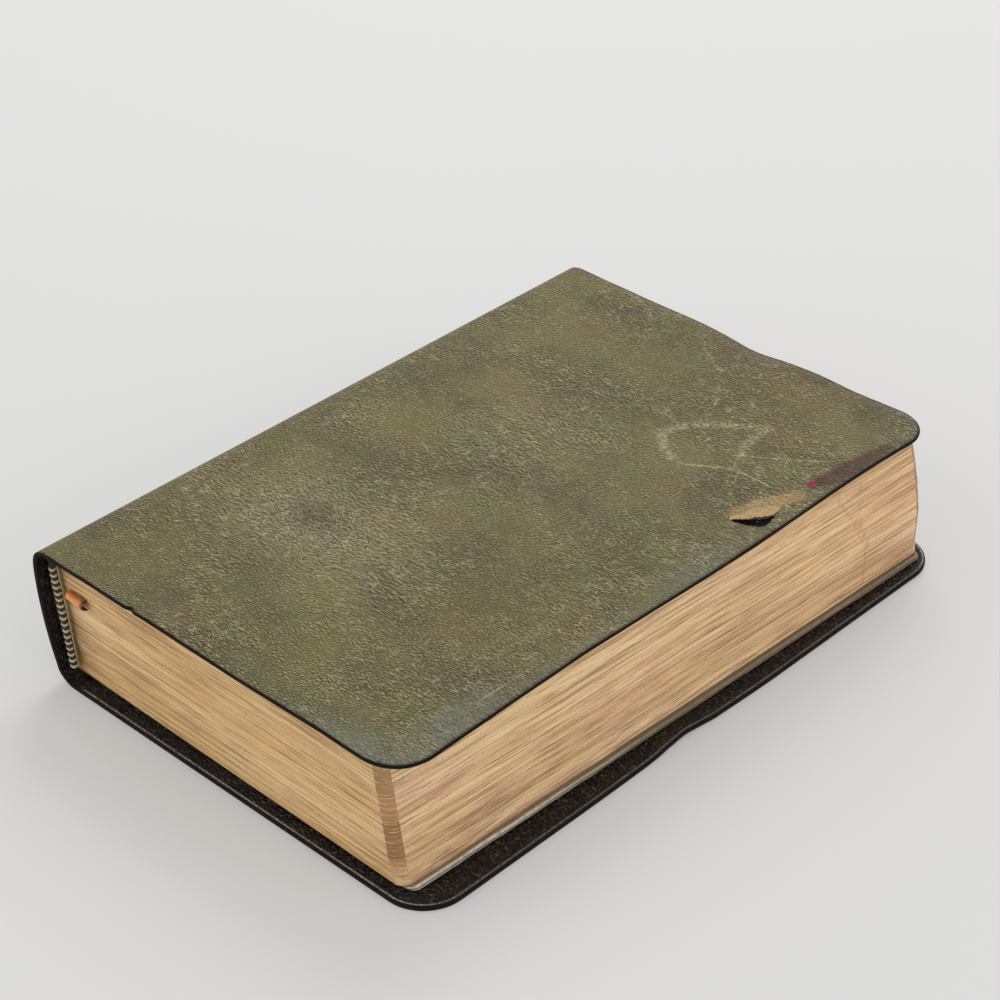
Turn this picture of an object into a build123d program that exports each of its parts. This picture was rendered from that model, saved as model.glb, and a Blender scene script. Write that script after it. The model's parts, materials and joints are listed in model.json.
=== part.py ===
from build123d import *
import os

# Limp leather book lying flat on its front cover, millimetres.
# +X spine to fore-edge, +Y head to tail, +Z up. Origin: middle of the
# footprint, on the surface that the book lies on.
# Every x below is first written from the corner of the spine (the datum) and
# moved by X_MID; every y from the head edge of the covers, moved by Y_MID.

# ---------------------------------------------------------------- dimensions
COVER_LEN = 190.0          # covers, head to tail
UP_FORE = 123.8            # fore edge of the upper (back) cover
LOW_FORE = 130.8           # fore edge of the lower (front) cover
THICK = 38.4               # whole book, leather to leather
SPINE_MIN = -3.25          # furthest bulge of the spine
CORNER_R = 11.5            # rounded fore corners of the covers

LEATHER = 0.7              # outer skin
BOARD = 0.4                # limp card inside the cover
TURN_IN = 0.4              # leather folded back over the card
TURN_W = 13.0              # how far the turn-in reaches inwards
PASTE = 0.2                # pastedown paper
PASTE_IN = 9.0             # pastedown starts this far inside the cover edge
RIM = LEATHER + BOARD + TURN_IN
GAP = 0.3                  # air between a closed cover and the flyleaf
FLY = 0.3                  # flyleaf

Z_LOW_IN = RIM             # inner face of the lower cover
Z_UP_IN = THICK - RIM      # inner face of the upper cover
Z_LEAF0 = RIM + PASTE + GAP            # bottom of the leaves
Z_LEAF1 = THICK - RIM - PASTE - GAP    # top of the leaves
Z_BLOCK0 = Z_LEAF0 + FLY
Z_BLOCK1 = Z_LEAF1 - FLY

SPINE_SKIN = 0.8           # spine leather
INLAY = 0.4                # card strip inside the spine leather
SPINE_TURN = 0.6           # leather turned in at head and tail of the spine
SPINE_TURN_W = 12.0
HOLLOW = 0.3               # hollow back
LINING = 0.3               # paper lining glued on the mull
MULL = 0.3                 # gauze glued on the backs of the sections
SPINE_BACK = SPINE_SKIN + INLAY + SPINE_TURN + HOLLOW + LINING + MULL

# leaves: fore edge at head and at tail, at the bottom of the stack, and how
# far it has slipped back at the top; head and tail edges
LEAF_FORE_HEAD = 121.2
LEAF_FORE_TAIL = 126.2
LEAF_LEAN = 0.14           # mm towards the spine for each mm of height
FLY_PROUD = 1.4            # the lowest sheet stands this far out of the block
LEAF_HEAD_SPINE = 4.3
LEAF_HEAD_FORE = 3.0
LEAF_TAIL = 186.2
LEAF_R = 3.2               # rounded fore corners of the leaves

# cover hinges: outer shoulder lines, parallel to Y
UP_HINGE = (-3.3, 35.2)
LOW_HINGE = (1.5, 2.4)

X_MID = (SPINE_MIN + LOW_FORE) / 2
Y_MID = COVER_LEN / 2


def at(x, z):
    return (x - X_MID, z)


def xz(y):
    """Section plane across the book at y from the head: local x is +X,
    local y is +Z, and a negative extrusion runs towards the tail."""
    return Plane((0, y - Y_MID, 0), x_dir=(1, 0, 0), z_dir=(0, -1, 0))


def outline(fore, inset, spine_x, z, r=CORNER_R):
    """Cover outline in plan, inset on head, tail and fore edge, with its two
    fore corners rounded."""
    with BuildSketch(Plane.XY.offset(z)) as sk:
        with BuildLine():
            Polyline(
                (spine_x - X_MID, inset - Y_MID),
                (fore - inset - X_MID, inset - Y_MID),
                (fore - inset - X_MID, COVER_LEN - inset - Y_MID),
                (spine_x - X_MID, COVER_LEN - inset - Y_MID),
                close=True,
            )
        make_face()
        fillet(sk.vertices().group_by(Axis.X)[-1], radius=max(r - inset, 0.8))
    return sk.sketch


# the spine leans and bows: its outer face is one arc, and every layer behind
# it is the same arc moved towards the block
ARC_A = (1.75, 3.2)
ARC_B = (-2.0, 17.4)
ARC_C = (SPINE_MIN, 31.0)


def spine_arc(dx):
    ThreePointArc(at(ARC_A[0] + dx, ARC_A[1]), at(ARC_B[0] + dx, ARC_B[1]),
                  at(ARC_C[0] + dx, ARC_C[1]))


def spine_strip(dx0, dx1, y0, y1):
    """Layer of the spine from y0 to y1: the section between two copies of the
    spine arc, with short straight ends that carry it up to the shoulder."""
    with BuildPart() as strip:
        with BuildSketch(xz(y0)):
            with BuildLine():
                spine_arc(dx0)
                Polyline(at(ARC_C[0] + dx0, ARC_C[1]),
                         at(ARC_C[0] + dx0 + 0.35, 34.2),
                         at(ARC_C[0] + dx1 + 0.35, 34.2),
                         at(ARC_C[0] + dx1, ARC_C[1]))
                spine_arc(dx1)
                Line(at(ARC_A[0] + dx1, ARC_A[1]), at(ARC_A[0] + dx0, ARC_A[1]))
            make_face()
        extrude(amount=-(y1 - y0))
    return strip.part


# ---------------------------------------------------------------- back cover
# lies on top: skin with a rounded shoulder at the spine, turned in on three
# sides over a limp card
with BuildPart() as back_cover_leather:
    with BuildSketch(xz(0)) as back_skin:
        with BuildLine():
            TangentArc(at(0.9, THICK), at(-2.35, THICK - 1.75), tangent=(-1, 0))
            Polyline(at(0.9, THICK), at(UP_FORE, THICK), at(UP_FORE, THICK - LEATHER),
                     at(1.0, THICK - LEATHER))
            TangentArc(at(1.0, THICK - LEATHER), at(-1.65, THICK - 1.75), tangent=(-1, 0))
            Line(at(-1.65, THICK - 1.75), at(-2.35, THICK - 1.75))
        make_face()
    extrude(amount=-COVER_LEN)
    # rim of the turn-in, a U in plan, below the skin
    add(extrude(outline(UP_FORE, 0.0, 4.0, Z_UP_IN), amount=RIM - LEATHER, mode=Mode.PRIVATE))
    # bed of the card
    add(extrude(outline(UP_FORE, 0.8, 3.0, THICK - LEATHER - BOARD), amount=BOARD,
                mode=Mode.PRIVATE), mode=Mode.SUBTRACT)
    # window between the turn-ins
    add(extrude(outline(UP_FORE, TURN_W, 3.0, Z_UP_IN, r=TURN_W + 1.5), amount=TURN_IN,
                mode=Mode.PRIVATE), mode=Mode.SUBTRACT)
    # round the fore corners of the skin
    add(extrude(outline(UP_FORE, 0.0, -6.0, THICK - 6.0), amount=8.0, mode=Mode.PRIVATE),
        mode=Mode.INTERSECT)
back_cover_leather.part.label = "back_cover_leather"

with BuildPart() as back_board:
    add(extrude(outline(UP_FORE, 0.8, 4.0, THICK - LEATHER - BOARD), amount=BOARD,
                mode=Mode.PRIVATE))
back_board.part.label = "back_board"

# paper that fills the window between the turn-ins level
with BuildPart() as back_infill:
    add(extrude(outline(UP_FORE, TURN_W, 4.0, Z_UP_IN, r=TURN_W + 1.5), amount=TURN_IN,
                mode=Mode.PRIVATE))
back_infill.part.label = "back_infill"

with BuildPart() as back_pastedown:
    add(extrude(outline(UP_FORE, PASTE_IN, 4.0, Z_UP_IN - PASTE, r=PASTE_IN + 1.5),
                amount=PASTE, mode=Mode.PRIVATE))
back_pastedown.part.label = "back_pastedown"

# --------------------------------------------------------------- front cover
# lies underneath, the same build turned over
with BuildPart() as front_cover_leather:
    with BuildSketch(xz(0)) as front_skin:
        with BuildLine():
            TangentArc(at(6.6, 0.0), at(2.35, 2.2), tangent=(-1, 0))
            Polyline(at(6.6, 0.0), at(LOW_FORE, 0.0), at(LOW_FORE, LEATHER), at(6.7, LEATHER))
            TangentArc(at(6.7, LEATHER), at(3.1, 2.2), tangent=(-1, 0))
            Line(at(3.1, 2.2), at(2.35, 2.2))
        make_face()
    extrude(amount=-COVER_LEN)
    add(extrude(outline(LOW_FORE, 0.0, 9.0, LEATHER), amount=RIM - LEATHER, mode=Mode.PRIVATE))
    add(extrude(outline(LOW_FORE, 0.8, 8.0, LEATHER), amount=BOARD, mode=Mode.PRIVATE),
        mode=Mode.SUBTRACT)
    add(extrude(outline(LOW_FORE, TURN_W, 8.0, LEATHER + BOARD, r=TURN_W + 1.5),
                amount=TURN_IN, mode=Mode.PRIVATE), mode=Mode.SUBTRACT)
    add(extrude(outline(LOW_FORE, 0.0, -2.0, -1.0), amount=6.0, mode=Mode.PRIVATE),
        mode=Mode.INTERSECT)
front_cover_leather.part.label = "front_cover_leather"

with BuildPart() as front_board:
    add(extrude(outline(LOW_FORE, 0.8, 9.0, LEATHER), amount=BOARD, mode=Mode.PRIVATE))
front_board.part.label = "front_board"

with BuildPart() as front_infill:
    add(extrude(outline(LOW_FORE, TURN_W, 9.0, LEATHER + BOARD, r=TURN_W + 1.5),
                amount=TURN_IN, mode=Mode.PRIVATE))
front_infill.part.label = "front_infill"

with BuildPart() as front_pastedown:
    add(extrude(outline(LOW_FORE, PASTE_IN, 9.0, RIM, r=PASTE_IN + 1.5), amount=PASTE,
                mode=Mode.PRIVATE))
front_pastedown.part.label = "front_pastedown"

# --------------------------------------------------------------------- spine
# leather with a card inlay, turned in at head and tail
SKIN_IN = SPINE_SKIN + INLAY + SPINE_TURN
bed = spine_strip(SPINE_SKIN, SPINE_SKIN + INLAY, SPINE_SKIN, COVER_LEN - SPINE_SKIN)
bare = spine_strip(SPINE_SKIN + INLAY, SKIN_IN, SPINE_TURN_W, COVER_LEN - SPINE_TURN_W)
with BuildPart() as spine_leather:
    add(spine_strip(0.0, SKIN_IN, 0.0, COVER_LEN))
    # bed of the inlay
    add(bed, mode=Mode.SUBTRACT)
    # between the two turn-ins the inlay is bare
    add(bare, mode=Mode.SUBTRACT)
spine_leather.part.label = "spine_leather"

with BuildPart() as spine_inlay:
    add(bed)
spine_inlay.part.label = "spine_inlay"

DX_LINING = SKIN_IN + HOLLOW
DX_MULL = DX_LINING + LINING

with BuildPart() as spine_lining:
    add(spine_strip(DX_LINING, DX_MULL, 3.2, COVER_LEN - 3.2))
spine_lining.part.label = "spine_lining"

with BuildPart() as spine_mull:
    add(spine_strip(DX_MULL, DX_MULL + MULL, 16.0, COVER_LEN - 16.0))
spine_mull.part.label = "spine_mull"


# ---------------------------------------------------------------- book block
def leaves(z0, z1, proud=0.0):
    """The stack of leaves between two heights, as one closed solid: bowed
    spine, leaning fore edge that is further out at the tail, head edge a
    little out of square, two rounded fore corners."""
    with BuildPart() as stack:
        back = SPINE_BACK
        with BuildSketch(xz(2.0)):
            with BuildLine():
                spine_arc(back)
                Polyline(at(ARC_C[0] + back, ARC_C[1]),
                         at(ARC_C[0] + back + 0.8, 37.0),
                         at(140.0, 37.0),
                         at(140.0, 1.0),
                         at(ARC_A[0] + back + 1.0, 1.0),
                         at(ARC_A[0] + back, ARC_A[1]))
            make_face()
        extrude(amount=-(LEAF_TAIL - 2.0))
        # fore edge: a plane through the head and tail points, leaning back
        fore_dir = Vector(LEAF_FORE_TAIL - LEAF_FORE_HEAD, COVER_LEN, 0)
        up_dir = Vector(-LEAF_LEAN, 0, 1)
        normal = fore_dir.cross(up_dir)
        split(bisect_by=Plane((LEAF_FORE_HEAD + proud - X_MID, -Y_MID, RIM), z_dir=normal),
              keep=Keep.BOTTOM)
        # head edge
        head_n = Vector(LEAF_HEAD_FORE - LEAF_HEAD_SPINE, -LEAF_FORE_HEAD, 0)
        split(bisect_by=Plane((-X_MID, LEAF_HEAD_SPINE - Y_MID, 0), z_dir=head_n),
              keep=Keep.BOTTOM)
        corners = [e for e in stack.edges()
                   if e.center().X > 40 and abs((e @ 1 - e @ 0).Z) > 20]
        fillet(corners, radius=LEAF_R)
        split(bisect_by=Plane.XY.offset(z0), keep=Keep.TOP)
        split(bisect_by=Plane.XY.offset(z1), keep=Keep.BOTTOM)
    return stack.part


with BuildPart() as text_block:
    add(leaves(Z_BLOCK0, Z_BLOCK1))
text_block.part.label = "text_block"

with BuildPart() as back_flyleaf:
    add(leaves(Z_BLOCK1, Z_LEAF1))
back_flyleaf.part.label = "back_flyleaf"

with BuildPart() as front_flyleaf:
    add(leaves(Z_LEAF0, Z_BLOCK0, FLY_PROUD))
front_flyleaf.part.label = "front_flyleaf"

# ------------------------------------------------- headbands and the ribbon
BAND_R = 1.35              # half the bead's width
BAND_Z0, BAND_Z1 = 4.4, 33.6


def band_part(y_face):
    """A round bead that lies against an end of the block, in three straight
    spans that follow the lean and bow of the spine."""
    with BuildPart() as band:
        zs = [BAND_Z0, 14.0, 24.0, BAND_Z1]
        xs = [4.0, 2.75, 1.5, 0.1]
        pts = [Vector(x + BAND_R - X_MID, y_face - Y_MID, z) for x, z in zip(xs, zs)]
        with BuildLine() as run:
            FilletPolyline(*pts, radius=25.0)
        with BuildSketch(Plane(pts[0], x_dir=(0, 1, 0), z_dir=run.line % 0)):
            Circle(BAND_R)
        sweep(path=run.line)
    return band.part


with BuildPart() as headband:
    add(band_part(LEAF_HEAD_SPINE - BAND_R - 0.15))
headband.part.label = "headband"

with BuildPart() as tailband:
    add(band_part(LEAF_TAIL + BAND_R + 0.05))
tailband.part.label = "tailband"

# ribbon marker: what is left of it is a short loop that comes out between
# the leaves at the head and goes back in
RIB_X0, RIB_X1 = 7.0, 12.6
RIB_T = 0.35
RIB_Z0, RIB_Z1 = 24.0, 28.4
RIB_Y = 4.0
RIB_OUT = 2.3
with BuildPart() as ribbon_marker:
    with BuildSketch(Plane((RIB_X0 - X_MID, 0, 0), x_dir=(0, 1, 0), z_dir=(1, 0, 0))):
        with BuildLine():
            ThreePointArc((RIB_Y - Y_MID, RIB_Z1), (RIB_Y - RIB_OUT - Y_MID, 26.0),
                          (RIB_Y - Y_MID, RIB_Z0))
            Line((RIB_Y - Y_MID, RIB_Z0), (RIB_Y - Y_MID, RIB_Z0 + RIB_T))
            ThreePointArc((RIB_Y - Y_MID, RIB_Z0 + RIB_T),
                          (RIB_Y - RIB_OUT + RIB_T - Y_MID, 26.0),
                          (RIB_Y - Y_MID, RIB_Z1 - RIB_T))
            Line((RIB_Y - Y_MID, RIB_Z1 - RIB_T), (RIB_Y - Y_MID, RIB_Z1))
        make_face()
    extrude(amount=RIB_X1 - RIB_X0)
ribbon_marker.part.label = "ribbon_marker"

# -------------------------------------------------------------------- export
os.makedirs("parts", exist_ok=True)
for piece in (back_cover_leather, back_board, back_infill, back_pastedown,
              front_cover_leather, front_board, front_infill, front_pastedown,
              spine_leather, spine_inlay, spine_lining, spine_mull,
              text_block, back_flyleaf, front_flyleaf,
              headband, tailband, ribbon_marker):
    export_step(piece.part, "parts/" + piece.part.label + ".step")

print("hinges (m):",
      [round((UP_HINGE[0] - X_MID) / 1000, 5), 0, round(UP_HINGE[1] / 1000, 5)],
      [round((LOW_HINGE[0] - X_MID) / 1000, 5), 0, round(LOW_HINGE[1] / 1000, 5)])
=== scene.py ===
import bpy, bmesh, json, math
import numpy as np
from mathutils import Matrix, Vector

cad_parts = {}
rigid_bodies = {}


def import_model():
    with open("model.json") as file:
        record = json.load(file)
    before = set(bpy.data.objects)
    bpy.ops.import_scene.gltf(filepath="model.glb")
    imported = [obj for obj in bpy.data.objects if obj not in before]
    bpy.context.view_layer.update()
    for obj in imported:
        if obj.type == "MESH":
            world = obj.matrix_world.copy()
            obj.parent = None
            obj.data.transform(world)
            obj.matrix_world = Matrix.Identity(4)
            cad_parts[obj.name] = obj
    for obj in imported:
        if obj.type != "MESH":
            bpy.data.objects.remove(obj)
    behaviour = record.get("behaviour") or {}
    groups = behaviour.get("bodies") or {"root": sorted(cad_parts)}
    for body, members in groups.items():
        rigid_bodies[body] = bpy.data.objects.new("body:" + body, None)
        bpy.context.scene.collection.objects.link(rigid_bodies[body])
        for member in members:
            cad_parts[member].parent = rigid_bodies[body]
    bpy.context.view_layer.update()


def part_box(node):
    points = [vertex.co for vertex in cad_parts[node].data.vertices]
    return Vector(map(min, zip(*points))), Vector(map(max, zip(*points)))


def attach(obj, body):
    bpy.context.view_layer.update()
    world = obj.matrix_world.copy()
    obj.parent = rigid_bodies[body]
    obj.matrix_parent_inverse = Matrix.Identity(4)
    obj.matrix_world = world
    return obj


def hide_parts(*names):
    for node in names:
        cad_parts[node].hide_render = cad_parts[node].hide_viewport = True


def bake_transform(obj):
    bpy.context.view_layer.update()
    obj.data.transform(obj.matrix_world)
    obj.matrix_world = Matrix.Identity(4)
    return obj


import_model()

# ------------------------------------------------------------------ frame
# All shapes below are written in millimetres from the spine corner of the
# book, and moved into the shared frame when a mesh is made.
MM = 0.001
lo_up, hi_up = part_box("back_cover_leather")
lo_lw, hi_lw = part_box("front_cover_leather")
lo_sp, hi_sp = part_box("spine_leather")
SPINE_MIN = -3.25
X_MID = SPINE_MIN - lo_sp.x / MM
Y_MID = -lo_up.y / MM
T = hi_up.z / MM                      # whole thickness
LEN = (hi_up.y - lo_up.y) / MM        # cover length
UP_FORE = hi_up.x / MM + X_MID
LOW_FORE = hi_lw.x / MM + X_MID
R_CORNER = 11.5
RIM = 1.5
Z_UP_IN = T - RIM
Z_LEAF0, Z_LEAF1 = 2.0, T - 2.0


def world(p):
    p = np.asarray(p, float)
    return (p - np.array([X_MID, Y_MID, 0.0])) * MM


# ------------------------------------------------------------------ noise
_lat = {}


def lat(seed):
    if seed not in _lat:
        _lat[seed] = np.random.RandomState(seed).rand(256, 256)
    return _lat[seed]


def vn(x, y, seed):
    g = lat(seed)
    x = np.asarray(x, float); y = np.asarray(y, float)
    xi = np.floor(x).astype(int); yi = np.floor(y).astype(int)
    fx = x - xi; fy = y - yi
    fx = fx * fx * (3 - 2 * fx); fy = fy * fy * (3 - 2 * fy)
    a = g[xi % 256, yi % 256]; b = g[(xi + 1) % 256, yi % 256]
    c = g[xi % 256, (yi + 1) % 256]; d = g[(xi + 1) % 256, (yi + 1) % 256]
    return ((a * (1 - fx) + b * fx) * (1 - fy) + (c * (1 - fx) + d * fx) * fy) * 2 - 1


def fbm(x, y, seed, octaves=4):
    s = 0.0; amp = 1.0; tot = 0.0
    for k in range(octaves):
        s = s + amp * vn(x * 2 ** k + 7.3 * k, y * 2 ** k + 3.1 * k, seed + k)
        tot += amp; amp *= 0.5
    return s / tot


def smooth(e0, e1, v):
    t = np.clip((np.asarray(v, float) - e0) / (e1 - e0), 0, 1)
    return t * t * (3 - 2 * t)


def gauss(v, s):
    return np.exp(-(v / s) ** 2)


def dist_line(x, y, pts):
    """Distance from each (x, y) to a polyline."""
    best = np.full(np.shape(x), 1e3)
    for (ax, ay), (bx, by) in zip(pts[:-1], pts[1:]):
        vx, vy = bx - ax, by - ay
        t = np.clip(((x - ax) * vx + (y - ay) * vy) / (vx * vx + vy * vy + 1e-9), 0, 1)
        best = np.minimum(best, np.hypot(x - ax - t * vx, y - ay - t * vy))
    return best


# ------------------------------------------------------------------ meshes
def build(name, verts, faces, mat=None, attrs=None, smooth_shade=True, fix=True):
    """A mesh object from vertices in mm and a list of index tuples. Unused
    vertices are dropped."""
    verts = np.asarray(verts, float)
    used = np.zeros(len(verts), bool)
    for f in faces:
        used[list(f)] = True
    new = np.cumsum(used) - 1
    me = bpy.data.meshes.new(name)
    me.from_pydata(world(verts[used]).tolist(), [], [tuple(new[list(f)]) for f in faces])
    me.validate()
    for key, val in (attrs or {}).items():
        val = np.asarray(val, float)
        if val.ndim == 2:
            at = me.attributes.new(key, "FLOAT_VECTOR", "POINT")
            at.data.foreach_set("vector", val[used].astype(np.float32).ravel())
        else:
            at = me.attributes.new(key, "FLOAT", "POINT")
            at.data.foreach_set("value", val[used].astype(np.float32))
    if fix:
        bm = bmesh.new(); bm.from_mesh(me)
        bmesh.ops.recalc_face_normals(bm, faces=bm.faces)
        bm.to_mesh(me); bm.free()
    me.polygons.foreach_set("use_smooth", [smooth_shade] * len(me.polygons))
    ob = bpy.data.objects.new(name, me)
    bpy.context.scene.collection.objects.link(ob)
    if mat:
        me.materials.append(mat)
    return ob


def quads(idx, flip=False):
    a = idx[:-1, :-1].ravel(); b = idx[:-1, 1:].ravel()
    c = idx[1:, 1:].ravel(); d = idx[1:, :-1].ravel()
    q = np.stack([a, b, c, d] if not flip else [a, d, c, b], 1)
    return [tuple(r) for r in q.tolist()]


def circle3(A, B, C):
    ax, ay = A; bx, by = B; cx, cy = C
    d = 2 * (ax * (by - cy) + bx * (cy - ay) + cx * (ay - by))
    ux = ((ax**2 + ay**2) * (by - cy) + (bx**2 + by**2) * (cy - ay) + (cx**2 + cy**2) * (ay - by)) / d
    uy = ((ax**2 + ay**2) * (cx - bx) + (bx**2 + by**2) * (ax - cx) + (cx**2 + cy**2) * (bx - ax)) / d
    return ux, uy, math.hypot(ax - ux, ay - uy)


SC = circle3((1.75, 3.2), (-2.0, 17.4), (SPINE_MIN, 31.0))


def spine_x(z):
    """Outer face of the spine at height z."""
    return SC[0] - math.sqrt(SC[2] ** 2 - (z - SC[1]) ** 2)


def catmull(pts, n):
    pts = [np.array(p, float) for p in pts]
    pts = [2 * pts[0] - pts[1]] + pts + [2 * pts[-1] - pts[-2]]
    out = []
    for i in range(1, len(pts) - 2):
        p0, p1, p2, p3 = pts[i - 1:i + 3]
        for k in range(n):
            t = k / n
            out.append(0.5 * (2 * p1 + (p2 - p0) * t + (2 * p0 - 5 * p1 + 4 * p2 - p3) * t * t
                              + (3 * p1 - p0 - 3 * p2 + p3) * t ** 3))
    out.append(pts[-2])
    return np.array(out)


def resample(path, step):
    d = np.r_[0, np.cumsum(np.hypot(*np.diff(path, axis=0).T))]
    n = max(2, int(round(d[-1] / step)))
    s = np.linspace(0, d[-1], n + 1)
    return np.stack([np.interp(s, d, path[:, 0]), np.interp(s, d, path[:, 1])], 1)


# ------------------------------------------------------------------ nodes
class Nodes:
    def __init__(self, name):
        self.mat = bpy.data.materials.new(name)
        self.mat.use_nodes = True
        self.t = self.mat.node_tree
        self.t.nodes.clear()
        self.out = self.t.nodes.new("ShaderNodeOutputMaterial")

    def add(self, kind, **kw):
        n = self.t.nodes.new("ShaderNode" + kind)
        for k, v in kw.items():
            setattr(n, k, v)
        return n

    def put(self, sock, v):
        if isinstance(v, bpy.types.NodeSocket):
            self.t.links.new(v, sock)
        elif v is not None:
            if hasattr(sock, "default_value"):
                if isinstance(v, (tuple, list)) and len(v) == 3 and len(sock.default_value) == 4:
                    v = tuple(v) + (1.0,)
                sock.default_value = v

    def math(self, op, a, b=None, c=None, clamp=False):
        n = self.add("Math", operation=op, use_clamp=clamp)
        for i, v in enumerate((a, b, c)):
            if v is not None:
                self.put(n.inputs[i], v)
        return n.outputs[0]

    def vmath(self, op, a, b=None):
        n = self.add("VectorMath", operation=op)
        self.put(n.inputs[0], a)
        if b is not None:
            self.put(n.inputs[3] if op == "SCALE" else n.inputs[1], b)
        return n.outputs[0]

    def scale(self, v, s):
        n = self.add("Mapping"); self.put(n.inputs[0], v); n.inputs["Scale"].default_value = s
        return n.outputs[0]

    def attr(self, name, vec=False):
        n = self.add("Attribute", attribute_type="GEOMETRY", attribute_name=name)
        return n.outputs["Vector"] if vec else n.outputs["Fac"]

    def noise(self, v, scale=1.0, detail=2.0, rough=0.5, dist=0.0, color=False):
        n = self.add("TexNoise", noise_dimensions="3D")
        self.put(n.inputs["Vector"], v); self.put(n.inputs["Scale"], scale)
        self.put(n.inputs["Detail"], detail); self.put(n.inputs["Roughness"], rough)
        self.put(n.inputs["Distortion"], dist)
        return n.outputs["Color"] if color else n.outputs[0]

    def voro(self, v, scale=1.0, feature="DISTANCE_TO_EDGE", rnd=1.0):
        n = self.add("TexVoronoi", voronoi_dimensions="2D", feature=feature)
        self.put(n.inputs["Vector"], v); self.put(n.inputs["Scale"], scale)
        self.put(n.inputs["Randomness"], rnd)
        return n.outputs["Distance"]

    def ramp(self, v, a, b, lo=0.0, hi=1.0):
        n = self.add("MapRange", interpolation_type="SMOOTHSTEP")
        self.put(n.inputs[0], v)
        for i, k in zip((1, 2, 3, 4), (a, b, lo, hi)):
            self.put(n.inputs[i], k)
        return n.outputs[0]

    def mix(self, f, a, b, mode="MIX"):
        n = self.add("Mix", data_type="RGBA", blend_type=mode)
        self.put(n.inputs[0], f); self.put(n.inputs[6], a); self.put(n.inputs[7], b)
        return n.outputs[2]

    def mul(self, a, b):
        return self.math("MULTIPLY", a, b)

    def addm(self, a, b):
        return self.math("ADD", a, b)

    def surface(self, color, rough, height=None, dist=0.0002, strength=1.0, metallic=None, spec=0.5,
                sheen=0.0, coat=0.0):
        b = self.add("BsdfPrincipled")
        self.put(b.inputs["Base Color"], color)
        self.put(b.inputs["Roughness"], rough)
        self.put(b.inputs["Metallic"], metallic)
        b.inputs["Specular IOR Level"].default_value = spec
        b.inputs["Sheen Weight"].default_value = sheen
        b.inputs["Coat Weight"].default_value = coat
        if height is not None:
            bp = self.add("Bump"); bp.inputs["Strength"].default_value = strength
            bp.inputs["Distance"].default_value = dist
            self.put(bp.inputs["Height"], height)
            self.put(b.inputs["Normal"], bp.outputs[0])
        self.t.links.new(b.outputs[0], self.out.inputs[0])
        return self.mat


def lin(r, g, b, k=1.0):
    """Linear colour from 0-255 display values."""
    f = lambda c: (c / 12.92 if c <= 0.04045 else ((c + 0.055) / 1.055) ** 2.4)
    return tuple(min(1.0, f(v / 255.0) * k) for v in (r, g, b))


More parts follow.
